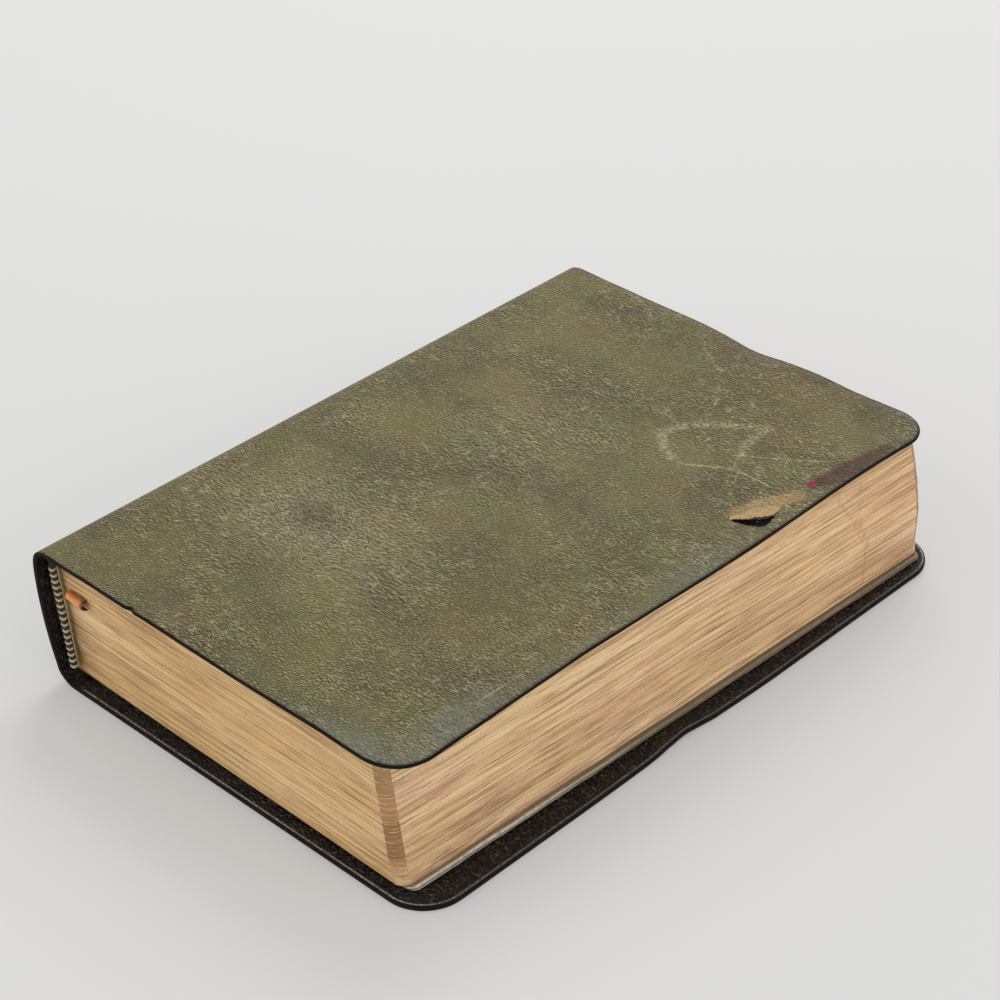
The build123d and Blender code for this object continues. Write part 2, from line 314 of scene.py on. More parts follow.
# ---- leather: rc is (arc length across the skin, y, layer) in mm
def leather_material():
    n = Nodes("leather_olive")
    rc = n.attr("rc", True)
    inner = n.attr("inner")
    # wandering coordinates so that no line runs straight
    wob = n.vmath("SUBTRACT", n.noise(rc, 0.035, 2, color=True), (0.5, 0.5, 0.5))
    p1 = n.vmath("ADD", rc, n.vmath("SCALE", wob, 7.0))
    wob2 = n.vmath("SUBTRACT", n.noise(rc, 0.28, 1, color=True), (0.5, 0.5, 0.5))
    p2 = n.vmath("ADD", p1, n.vmath("SCALE", wob2, 1.5))
    p2s = n.vmath("ADD", p2, (-0.10, 0.20, 0.0))        # one step toward the light, for the painted emboss shading
    # short drawn grain, longer across the book than along it
    fine = n.noise(n.scale(p1, (0.80, 1.60, 1.0)), 1.0, 3, 0.60)
    v1 = n.voro(n.scale(p2, (0.34, 0.78, 1.0)), 1.0)
    v1s = n.voro(n.scale(p2s, (0.34, 0.78, 1.0)), 1.0)
    v2 = n.voro(n.scale(p2, (0.58, 1.42, 1.0)), 1.0)
    v2s = n.voro(n.scale(p2s, (0.58, 1.42, 1.0)), 1.0)
    cre = n.ramp(v1, 0.0, 0.13)
    cre2 = n.ramp(v2, 0.0, 0.20)
    # creases across the book, a weaker family along it, in drifts
    la = n.noise(n.scale(p2, (0.12, 0.55, 1.0)), 1.0, 2, 0.45)
    las = n.noise(n.scale(p2s, (0.12, 0.55, 1.0)), 1.0, 2, 0.45)
    lad = n.math("SUBTRACT", la, 0.5)
    lasd = n.math("SUBTRACT", las, 0.5)
    lac = n.ramp(n.math("ABSOLUTE", lad), 0.0, 0.022)
    lacs = n.ramp(n.math("ABSOLUTE", lasd), 0.0, 0.022)
    lb = n.noise(n.scale(p2, (0.40, 0.13, 1.0)), 1.0, 2, 0.45)
    lbd = n.math("SUBTRACT", lb, 0.5)
    lbc = n.ramp(n.math("ABSOLUTE", lbd), 0.0, 0.018)
    patch = n.noise(rc, 0.030, 2)
    drift = n.ramp(patch, 0.40, 0.62)
    ck = n.attr("crack")
    amt = n.math("MAXIMUM", n.mul(drift, 0.6), ck)
    h = n.addm(n.mul(cre, n.addm(n.mul(amt, 0.45), 0.10)), n.mul(fine, 0.50))
    h = n.addm(h, n.mul(n.ramp(v2, 0.0, 0.40), 0.42))
    h = n.addm(h, n.mul(n.mul(lac, n.addm(n.mul(amt, 0.6), 0.25)), 0.40))
    h = n.addm(h, n.mul(n.mul(lbc, n.addm(n.mul(amt, 0.8), 0.2)), 0.30))
    # painted emboss: the flank of each grain and crease that faces the light is painted lighter, the other flank darker
    # as painted shade
    e1 = n.mul(n.math("SUBTRACT", v1, v1s), n.addm(n.addm(n.mul(ck, 2.6), n.mul(drift, 0.7)), 0.12))
    e2 = n.math("SUBTRACT", v2, v2s)
    e3 = n.mul(n.math("SUBTRACT", lac, lacs), n.addm(n.mul(amt, 0.22), 0.10))
    e2 = n.mul(e2, n.math("SUBTRACT", n.ramp(n.noise(rc, 0.06, 2), 0.34, 0.62, 0.50, 0.92), n.mul(ck, 0.62)))
    em = n.addm(n.addm(e1, e2), e3)
    # colour: olive, with greener, browner and darker clouds
    base = n.mix(n.ramp(n.noise(rc, 0.024, 2, 0.5), 0.38, 0.62), OLIVE_A, OLIVE_B)
    n2 = n.noise(n.scale(rc, (1.0, 0.7, 1.0)), 0.036, 2, 0.5)
    base = n.mix(n.mul(n.ramp(n2, 0.48, 0.66), 0.60), base, BROWN_A)
    n3 = n.noise(n.scale(n.vmath("ADD", rc, (71.0, 13.0, 0.0)), (0.8, 1.2, 1.0)), 0.040, 2, 0.5)
    base = n.mix(n.mul(n.ramp(n3, 0.46, 0.64), 0.72), base, GREY_A)
    n4 = n.noise(n.scale(n.vmath("ADD", rc, (13.0, 57.0, 0.0)), (0.5, 1.0, 1.0)), 0.09, 3, 0.6)
    base = n.mix(n.mul(n.ramp(n4, 0.50, 0.66), 0.48), base, GREEN_A)
    # crease bottoms dark as painted shade; fine ridges pale, partly rubbed wear and partly painted highlight
    inv1 = n.math("SUBTRACT", 1.0, cre)
    inv2 = n.math("SUBTRACT", 1.0, cre2)
    low = n.math("MAXIMUM", n.mul(inv1, n.addm(n.mul(ck, 0.45), n.addm(n.mul(amt, 0.35), 0.06))), n.mul(inv2, n.math("SUBTRACT", 0.40, n.mul(ck, 0.26))))
    low = n.math("MAXIMUM", low, n.mul(n.math("SUBTRACT", 1.0, lac), n.addm(n.mul(amt, 0.50), 0.18)))
    low = n.math("MAXIMUM", low, n.mul(n.math("SUBTRACT", 1.0, lbc), n.mul(amt, 0.55)))
    low = n.math("MAXIMUM", low, n.ramp(fine, 0.44, 0.30, 0.0, 0.40))
    base = n.mix(low, base, CREASE)
    # shaded flanks: painted shade
    base = n.mix(n.ramp(em, -0.03, -0.20, 0.0, 0.55), base, CREASE)
    base = n.mix(n.ramp(fine, 0.52, 0.72, 0.0, 0.35), base, RIDGE)
    # lit flanks: painted highlight
    base = n.mix(n.ramp(em, 0.03, 0.20, 0.0, 0.60), base, LIP)
    # pale lip on one flank of each long wrinkle: painted highlight, stronger where the skin is cracked
    lip2 = n.mul(n.ramp(lbd, 0.010, 0.020), n.ramp(lbd, 0.046, 0.028))
    lip1 = n.mul(n.ramp(lad, 0.012, 0.024), n.ramp(lad, 0.054, 0.034))
    brk = n.ramp(n.noise(n.scale(p1, (0.25, 0.35, 1.0)), 1.0, 2, 0.5), 0.40, 0.56)
    lips = n.mul(n.math("MAXIMUM", n.mul(lip2, 0.95), n.mul(lip1, 0.75)), n.mul(brk, n.addm(n.mul(amt, 0.80), 0.20)))
    base = n.mix(lips, base, PALE)
    # pale rims round the grain cells of the cracked patch: rubbed wear and painted highlight
    lipv = n.mul(n.mul(n.ramp(v1, 0.05, 0.10), n.ramp(v1, 0.24, 0.13)), n.mul(ck, n.ramp(fine, 0.34, 0.50)))
    base = n.mix(n.mul(lipv, 0.80), base, PALE)
    # broken pale sparkle on stretched skin
    spk = n.mul(n.ramp(n.noise(n.scale(rc, (2.0, 3.0, 1.0)), 1.0, 2, 0.6), 0.62, 0.70), n.addm(n.mul(ck, 0.55), n.mul(drift, 0.12)))
    base = n.mix(n.mul(spk, 0.75), base, PALE)
    # darker worn spots
    dk = n.attr("dark")
    dkm = n.mul(dk, n.ramp(n.noise(rc, 0.30, 3, 0.6), 0.25, 0.60))
    base = n.mix(n.mul(dkm, 0.62), base, DARK_SPOT)
    # rubbed outline of a damp ring, and fine scratches
    ns = n.noise(rc, 0.9, 3, 0.65)
    nf = n.noise(rc, 2.6, 3, 0.65)
    dl = n.attr("dpale")
    pale = n.mul(n.ramp(n.addm(dl, n.mul(n.math("SUBTRACT", ns, 0.5), 3.4)), 2.2, 0.3), n.ramp(n.noise(n.scale(rc, (0.9, 1.5, 1.0)), 1.0, 2, 0.55), 0.40, 0.60))
    base = n.mix(n.mul(pale, 0.66), base, PALE)
    ds = n.attr("dscr")
    scr = n.ramp(n.addm(ds, n.mul(n.math("SUBTRACT", ns, 0.5), 0.7)), 0.42, 0.12)
    base = n.mix(n.mul(scr, 0.62), base, PALE)
    # tan scuff beside the torn flap
    dt = n.attr("dtan")
    tan = n.mul(n.ramp(n.addm(dt, n.mul(n.math("SUBTRACT", ns, 0.5), 3.0)), 2.0, 0.2), n.ramp(nf, 0.30, 0.56))
    base = n.mix(n.mul(tan, 0.80), base, TAN)
    # maroon stain and its red bead
    dm = n.attr("dmar")
    mar = n.ramp(n.addm(dm, n.mul(n.math("SUBTRACT", ns, 0.5), 2.4)), 0.9, -1.2)
    base = n.mix(n.mul(mar, 0.78), base, MAROON)
    sp = n.ramp(n.attr("dspot"), 1.45, 0.9)
    base = n.mix(n.mul(sp, 0.9), base, SPOT)
    # blue-grey painted sheen near the rubbed corner and fore edge, mixed with real rubbing wear
    sheen_rub = n.attr("sheen_and_rub")
    sheen_rub_mix = n.mul(sheen_rub, n.ramp(n.addm(n.mul(fine, 0.7), n.mul(nf, 0.5)), 0.50, 0.78, 0.25, 1.0))
    base = n.mix(n.mul(sheen_rub_mix, 0.72), base, BLUE_GREY)
    # small tears and pits: black as painted shade inside the holes, with a few grey fibres
    tr = n.attr("tear")
    tear = n.ramp(n.addm(tr, n.mul(n.math("SUBTRACT", nf, 0.5), 0.7)), 0.42, 0.60)
    tcol = n.mix(n.ramp(n.noise(rc, 1.5, 2, 0.5), 0.60, 0.70), BLACK, BLUE_GREY)
    base = n.mix(tear, base, tcol)
    # turned-in side and the edge: nearly black brown; ridges a little lighter as painted highlight, crease bottoms
    # black as painted shade
    inn = n.mix(n.mul(n.ramp(fine, 0.50, 0.66), 0.70), INNER_D, INNER_L)
    inn = n.mix(n.mul(inv1, 0.8), inn, BLACK)
    # the rolled rim near black: painted shade on the cover's edge
    inn = n.mix(n.attr("rim"), inn, RIM_C)
    # pale line on the tooled ridge inside the edge: painted highlight along the ridge
    inn = n.mix(n.mul(n.attr("line"), n.ramp(nf, 0.36, 0.56)), inn, INNER_LINE)
    base = n.mix(inner, base, inn)
    rough = n.ramp(fine, 0.3, 0.8, 0.48, 0.62)
    rough = n.math("SUBTRACT", rough, n.mul(sheen_rub, 0.08))
    rough = n.math("SUBTRACT", rough, n.mul(inner, 0.16))
    rough = n.addm(rough, n.mul(n.attr("rim"), 0.25))
    mat = n.surface(base, rough, h, dist=0.00060, strength=1.0, spec=0.30, sheen=0.0)
    pb = [x for x in n.t.nodes if x.type == "BSDF_PRINCIPLED"][0]
    n.put(pb.inputs["Specular IOR Level"], n.math("SUBTRACT", 0.18, n.mul(n.attr("rim"), 0.08)))
    return mat


KL = 0.82
OLIVE_A = lin(122, 113, 66, KL); OLIVE_B = lin(101, 94, 56, KL)
BROWN_A = lin(118, 94, 58, KL); GREY_A = lin(84, 76, 54, KL); GREEN_A = lin(104, 112, 68, KL)
CREASE = lin(54, 46, 28, KL); RIDGE = lin(154, 146, 98, KL); PALE = lin(190, 182, 146, KL); LIP = lin(170, 162, 118, KL)
DARK_SPOT = lin(70, 54, 44, KL); TAN = lin(178, 148, 98, 0.95); MAROON = lin(78, 42, 32, KL)
SPOT = lin(150, 36, 78, 0.9); BLUE_GREY = lin(124, 130, 126, KL); BLACK = lin(12, 10, 12)
INNER_D = lin(20, 14, 10); INNER_L = lin(92, 76, 62); INNER_LINE = lin(186, 180, 172); RIM_C = lin(20, 15, 12)


def page_material():
    n = Nodes("gilt_page_edges")
    rc = n.attr("rc", True)        # (length along the edges, z, side)
    arc = n.attr("corner")
    low = n.attr("low")
    warp = n.vmath("SCALE", n.vmath("SUBTRACT", n.noise(n.scale(rc, (0.02, 0.02, 1.0)), 1.0, 1, color=True), (0.5, 0.5, 0.5)), 1.4)
    p = n.vmath("ADD", rc, warp)
    l0 = n.noise(n.scale(p, (0.070, 2.7, 1.0)), 1.0, 2, 0.6)      # fine broken lines
    l1 = n.noise(n.scale(p, (0.020, 1.45, 1.0)), 1.0, 3, 0.7)      # leaves
    l2 = n.noise(n.scale(p, (0.012, 0.55, 1.0)), 1.0, 2, 0.6)     # gatherings
    l3 = n.noise(n.scale(p, (0.008, 0.26, 1.0)), 1.0, 2, 0.5)     # broad bands
    grit = n.noise(n.scale(rc, (1.3, 2.2, 1.0)), 1.0, 3, 0.7)
    cloud = n.noise(n.scale(rc, (0.018, 0.06, 1.0)), 1.0, 3, 0.6)
    side = n.attr("side")          # 0 head and tail, 1 fore-edge
    top = n.attr("top")
    c = n.mix(side, PG_HEAD, PG_FORE)
    c = n.mix(n.mul(n.ramp(cloud, 0.46, 0.64), n.addm(n.mul(side, 0.65), 0.15)), c, PG_PINK)
    c = n.mix(n.mul(n.ramp(l3, 0.54, 0.38), 0.45), c, PG_LIGHT)
    c = n.mix(n.mul(n.ramp(l2, 0.52, 0.66), 0.50), c, PG_BROWN)
    c = n.mix(n.mul(n.ramp(l0, 0.46, 0.36), 0.42), c, PG_LIGHT)
    c = n.mix(n.mul(n.ramp(l0, 0.53, 0.66), 0.60), c, PG_DARK)
    # leaf lines stronger toward the top: painted shade under the upper cover
    c = n.mix(n.mul(n.ramp(l1, 0.52, 0.66), n.addm(0.62, n.mul(top, 0.35))), c, PG_DARK)
    c = n.mix(n.mul(n.ramp(l1, 0.47, 0.34), 0.45), c, PG_LIGHT)
    c = n.mix(n.mul(n.ramp(grit, 0.52, 0.68), 0.38), c, PG_BROWN)
    c = n.mix(n.mul(n.ramp(grit, 0.46, 0.34), 0.25), c, PG_LIGHT)
    # darker toward the top of the block: painted shade under the upper cover
    c = n.mix(n.mul(top, 0.35), c, PG_DARK)
    # the rounded corner is rubbed brown between fine bright leaves
    la = n.noise(n.scale(p, (0.16, 3.0, 1.0)), 1.0, 3, 0.7)
    band = n.noise(n.scale(p, (0.02, 0.22, 1.0)), 1.0, 2, 0.6)
    cb = n.mix(n.ramp(band, 0.42, 0.60), PG_CORN, PG_BROWN)
    cb = n.mix(n.mul(low, 0.6), cb, PG_LIGHT)
    cc = n.mix(n.ramp(la, 0.54, 0.68, 0.0, 0.6), cb, PG_LIGHT)
    cc = n.mix(n.ramp(la, 0.44, 0.34), cc, PG_DARK)
    c = n.mix(n.mul(n.ramp(arc, 0.35, 0.75), 0.88), c, cc)
    # brown bruises drawn out along the leaves
    st = n.noise(n.scale(p, (0.055, 0.45, 1.0)), 1.0, 3, 0.6)
    c = n.mix(n.mul(n.ramp(st, 0.60, 0.76), n.addm(0.22, n.mul(low, 0.40))), c, PG_STAIN)
    c = n.mix(n.mul(n.mul(n.attr("stain"), n.ramp(n.noise(n.scale(p, (0.12, 0.9, 1.0)), 1.0, 3, 0.6), 0.30, 0.62)), 0.62), c, PG_STAIN)
    # hair cracks across the gilding
    cr = n.ramp(n.addm(n.attr("hair"), n.mul(n.math("SUBTRACT", grit, 0.5), 0.5)), 0.75, 0.10)
    c = n.mix(n.mul(cr, 0.42), c, PG_BROWN)
    spk = n.ramp(n.noise(n.scale(rc, (0.9, 1.1, 1.0)), 1.0, 1), 0.78, 0.84)
    c = n.mix(n.mul(spk, 0.6), c, PG_DARK)
    h = n.addm(n.mul(l1, 0.8), n.mul(l0, 0.5))
    h = n.addm(h, n.mul(grit, 0.35))
    return n.surface(c, n.ramp(l1, 0.3, 0.7, 0.42, 0.62), h, dist=0.00022, strength=0.8, metallic=0.10, spec=0.4)


PG_HEAD = lin(206, 166, 108); PG_FORE = lin(206, 168, 122); PG_PINK = lin(196, 152, 124)
PG_LIGHT = lin(236, 206, 158); PG_BROWN = lin(164, 122, 78); PG_DARK = lin(112, 78, 46)
PG_STAIN = lin(118, 82, 64); PG_CORN = lin(128, 92, 54)


def paper_material(name, col, dark, scale=1.0, rough=0.8):
    n = Nodes(name)
    tc = n.add("TexCoord").outputs["Object"]
    p = n.scale(tc, (1000, 1000, 1000))
    f = n.noise(n.scale(p, (0.9, 2.2, 1.0)), 1.0 * scale, 4, 0.65)
    cl = n.noise(p, 0.05 * scale, 3, 0.6)
    c = n.mix(n.ramp(cl, 0.34, 0.74, 0.0, 0.26), col, dark)
    c = n.mix(n.mul(n.ramp(f, 0.5, 0.75), 0.22), c, dark)
    fox = n.noise(n.vmath("ADD", p, (31.0, 7.0, 3.0)), 0.16 * scale, 2, 0.5)
    c = n.mix(n.ramp(fox, 0.70, 0.80, 0.0, 0.35), c, lin(150, 112, 70))
    return n.surface(c, rough, f, dist=0.00003, strength=0.5, spec=0.3)


def thread_material(name, col, dark, rough=0.55, sheen=0.3):
    n = Nodes(name)
    rc = n.attr("rc", True)        # (along the thread, around it)
    w = n.add("TexWave", wave_type="BANDS", bands_direction="DIAGONAL")
    n.put(w.inputs["Vector"], rc); w.inputs["Scale"].default_value = 1.6
    w.inputs["Distortion"].default_value = 1.2; w.inputs["Detail"].default_value = 2.0
    f = n.noise(rc, 3.0, 3, 0.6)
    c = n.mix(n.mul(w.outputs["Fac"], 0.5), col, dark)
    c = n.mix(n.mul(n.ramp(f, 0.5, 0.8), 0.4), c, dark)
    return n.surface(c, rough, n.addm(n.mul(w.outputs["Fac"], 0.7), n.mul(f, 0.4)), dist=0.00008, strength=0.8, spec=0.3, sheen=sheen)


# ------------------------------------------------------------------ covers
EDGE = 0.42          # how far the flat faces stop inside the outline


def skin_rows(length, r, e, step):
    """Rows across the cover: y, inset of the fore edge at that row, and the
    outward direction there. Rows in the corners are evenly spaced on the arc."""
    k = 13
    ys, cut, dirs = [], [], []
    for i in range(k):
        a = math.pi / 2 * i / k
        ys.append(e + (r - e) * (1 - math.cos(a)))
        cut.append((r - (r - e) * math.sin(a)))
        dirs.append((math.sin(a), -math.cos(a)))
    n = int(round((length - 2 * r) / step))
    for i in range(n + 1):
        ys.append(r + (length - 2 * r) * i / n)
        cut.append(e); dirs.append((1.0, 0.0))
    for i in range(k):
        a = math.pi / 2 * (1 - (i + 1) / k)
        ys.append(length - e - (r - e) * (1 - math.cos(a)))
        cut.append((r - (r - e) * math.sin(a)))
        dirs.append((math.sin(a), math.cos(a)))
    return np.array(ys), np.array(cut), np.array(dirs)


def cover_skin(name, upper, mat, step_y, xs_flat, x0_flat):
    """Closed skin of one cover with its half of the spine. Outer face, rolled
    rim and inner face share one grid. xs_flat: share of the flat width, 0..1."""
    if upper:
        zs = np.linspace(17.4, 31.0, 15)
        prof = [(spine_x(z), z) for z in zs]
        shoulder = catmull([prof[-1], (-3.17, 33.2), (-2.75, 35.1), (-1.75, 36.75), (-0.1, 37.85),
                            (1.9, 38.33), (x0_flat, T)], 8)
        fore, zf, sgn = UP_FORE, T, 1.0
    else:
        zs = np.linspace(17.4, 4.6, 14)
        prof = [(spine_x(z), z) for z in zs]
        shoulder = catmull([prof[-1], (1.62, 3.25), (2.75, 1.95), (4.5, 0.85), (6.6, 0.18), (x0_flat, 0.0)], 9)
        fore, zf, sgn = LOW_FORE, 0.0, -1.0
    sh = resample(shoulder, 0.45)
    path = np.vstack([np.array(prof)[:-1], sh])
    ncp = len(path)
    tan = np.gradient(path, axis=0)
    tan /= np.hypot(tan[:, 0], tan[:, 1])[:, None]
    nrm = np.stack([-tan[:, 1], tan[:, 0]], 1) * sgn
    if not upper:
        nrm = np.stack([tan[:, 1], -tan[:, 0]], 1)
    s_path = np.r_[0, np.cumsum(np.hypot(*np.diff(path, axis=0).T))]
    ys, cut, dirs = skin_rows(LEN, R_CORNER, EDGE, step_y)
    nr, nc = len(ys), ncp + len(xs_flat) - 1
    X = np.zeros((nr, nc)); Z = np.zeros((nr, nc)); Y = np.repeat(ys[:, None], nc, 1)
    NX = np.zeros((nr, nc)); NZ = np.zeros((nr, nc)); S = np.zeros((nr, nc)); TH = np.zeros((nr, nc))
    X[:, :ncp] = path[:, 0]; Z[:, :ncp] = path[:, 1]
    NX[:, :ncp] = nrm[:, 0]; NZ[:, :ncp] = nrm[:, 1]
    S[:, :ncp] = s_path - s_path[-1] + x0_flat
    q = xs_flat[1:]
    xmax = fore - cut
    X[:, ncp:] = x0_flat + q[None, :] * (xmax[:, None] - x0_flat)
    Z[:, ncp:] = zf; NZ[:, ncp:] = sgn; NX[:, ncp:] = 0
    S[:, ncp:] = X[:, ncp:]
    # thickness: spine with its inlay, thin at the joint, full over the card
    xb = 4.0 if upper else 9.0
    th = np.interp(S, [S.min(), xb - 8.0, xb - 3.0, xb - 1.2, xb - 0.2], [1.8, 1.7, 0.95, 1.1, RIM])
    # distance to the free edge of the cover
    dx = fore - X; dy = np.minimum(Y, LEN - Y)
    cxy = (dx < R_CORNER) & (dy < R_CORNER)
    dedge = np.where(cxy, R_CORNER - np.hypot(R_CORNER - dx, R_CORNER - dy), np.minimum(dx, dy))
    if upper:
        th = th * (0.74 + 0.26 * smooth(0.4, 4.0, np.where(S < 6, 9.0, dedge)))
    return dict(X=X, Y=Y, Z=Z, NX=NX, NZ=NZ, S=S, th=th, ncp=ncp, nr=nr, nc=nc, dirs=dirs,
                dedge=dedge, sgn=sgn, fore=fore, zf=zf, upper=upper, name=name, mat=mat)


def shape_cover(g):
    """Waves, droop and damage of each cover. move_* shifts both faces,
    outer_* only the outside one."""
    X, Y, S, dedge = g["X"], g["Y"], g["S"], g["dedge"]
    flat = smooth(3.0, 12.0, X)
    rim_zone = 1 - smooth(0.0, 9.0, dedge)
    mx = np.zeros_like(X); my = np.zeros_like(X); mz = np.zeros_like(X); oz = np.zeros_like(X)
    fe = 1 - smooth(0.0, 9.0, g["fore"] - X)       # near the fore edge
    if g["upper"]:
        # soft quilting of the limp cover
        oz += flat * (0.34 * fbm(X / 34, Y / 46, 11, 3) + 0.12 * fbm(X / 9, Y / 15, 21, 3))
        # drawn creases across the book
        cr = vn(X / 5.5 + 1.2 * vn(X / 20, Y / 20, 31), Y / 1.9 + 2.0 * vn(X / 16, Y / 22, 33), 35)
        drift = smooth(0.0, 0.5, fbm(X / 40, Y / 34, 41, 2) + 0.15)
        oz -= flat * 0.085 * drift * np.clip(1 - np.abs(cr) * 3.2, 0, 1)
        # long pulls near the middle of the cover
        pull = vn(X / 3.2 + 0.6 * Y / 9 + vn(X / 15, Y / 15, 51), Y / 13.0, 53)
        oz -= flat * 0.10 * np.clip(1 - np.abs(pull) * 2.6, 0, 1) * gauss(np.hypot((X - 52) / 34, (Y - 118) / 26), 1.0)
        # tail edge dips where the cover has been bent
        d = gauss(X - 66, 9.0) * (1 - smooth(0, 8, LEN - Y))
        mz -= 0.85 * d; my -= 0.5 * d
        mz += 0.35 * gauss(X - 88, 9.0) * (1 - smooth(0, 8, LEN - Y))
        cn = gauss(np.hypot(g["fore"] - X, LEN - Y), 15.0)
        mx += 1.3 * cn; my += 1.2 * cn
        # fore edge rises and falls
        w = np.interp(Y, [0, 12, 40, 62, 84, 105, 120, 150, 178, 190],
                      [-0.55, -0.45, 0.10, 0.30, 0.05, -0.35, -0.45, -0.10, 0.15, 0.0])
        mz += fe * w
        mx += fe * np.interp(Y, [0, 30, 60, 95, 120, 150, 190], [0, -0.2, -0.35, 0.2, 0.35, 0.1, 0.3])
        hw = np.interp(X, [0, 20, 33, 40, 70, 100, 124], [0, 0.1, -0.12, 0.1, -0.2, 0.15, -0.35])
        mz += (1 - smooth(0, 9, Y)) * hw * flat
        # bruised, puckered patch
        pz = gauss(np.hypot((X - 38.8) / 9, (Y - 56.4) / 7), 1.0)
        oz += pz * 0.16 * fbm(X / 2.2, Y / 1.8, 61, 3)
        # scuffed hollow around the torn flap and the stain
        oz -= 0.22 * gauss(dist_line(X, Y, [(114.5, 128), (119.0, 140)]), 3.2)
        # the nick in the head edge
        nk = gauss(np.hypot(X - 34.0, (Y - 0.0) * 1.2), 1.1)
        my += 0.9 * nk * (1 - smooth(0, 3, Y)); mz -= 0.3 * nk
        # pit under the flap
        pit = crescent(X, Y)
        oz -= 0.75 * smooth(0.25, 0.9, pit)
        # edge lightly rolled down
        oz -= 0.28 * (1 - smooth(0.0, 2.4, dedge)) * flat
        oz = np.maximum(oz, -0.56)
    else:
        w = np.interp(Y, [0, 20, 50, 74, 82, 90, 99, 112, 150, 190],
                      [0.05, 0.0, 0.0, 0.15, 0.8, 1.0, 0.35, 0.05, 0.1, 0.0])
        mz += fe * w * 0.8
        mx += fe * np.interp(Y, [0, 60, 78, 88, 98, 120, 190], [0, 0.0, -0.2, -0.9, -0.1, 0.25, 0.0])
        g["inner_extra"] = True
    return mx, my, mz, oz


def crescent(x, y):
    """1 inside the crescent-shaped tear, falling to 0 at its border."""
    ax = [(113.6, 123.3), (116.8, 124.2), (119.2, 126.8), (120.1, 131.4)]
    d = dist_line(x, y, ax)
    w = 0.35 + 1.35 * np.exp(-((y - 126.4) / 2.9) ** 2)
    return np.clip(1.4 - d / w, 0, 1)


def inner_relief(g, X, Y, dedge):
    """Height of the turned-in leather above the inner face: a tooled line
    inside the edge, gathers at the corners, cross wrinkles."""
    z = np.zeros_like(X)
    z += 0.14 * np.exp(-((dedge - 0.62) / 0.20) ** 2)
    z -= 0.16 * np.exp(-((dedge - 1.25) / 0.35) ** 2)
    fx = g["fore"] - X
    for cy, sy in ((0.0, 1.0), (LEN, -1.0)):
        px = R_CORNER - fx; py = R_CORNER - (Y - cy) * sy
        ang = np.arctan2(py, px)
        rad = np.hypot(px, py)
        zone = smooth(1.6, 2.6, dedge) * smooth(3.0, 7.0, rad) * (px > -3) * (py > -3)
        zone = zone * smooth(-3, 1, px) * smooth(-3, 1, py)
        z += zone * 0.30 * np.sin(ang * 17 + 1.3 * vn(ang * 4, rad / 3, 71)) * (0.6 + 0.4 * vn(ang * 6, rad / 2, 72))
    # short wrinkles square to the edge along fore and head
    wr = vn(Y / 1.25 + 0.5 * vn(X / 3, Y / 7, 73), X / 5.5, 74)
    z += 0.16 * wr * smooth(1.2, 2.2, dedge)
    hd = np.minimum(Y, LEN - Y)
    wr = vn(X / 1.3 + 0.5 * vn(X / 7, Y / 3, 75), Y / 5.0, 76)
    z += 0.10 * wr * smooth(1.2, 2.2, dedge) * (1 - smooth(8, 12, hd))
    z += 0.10 * fbm(X / 1.1, Y / 1.1, 77, 2) * smooth(1.2, 2.2, dedge)
    return z * (1 - smooth(6.5, 9.0, dedge))


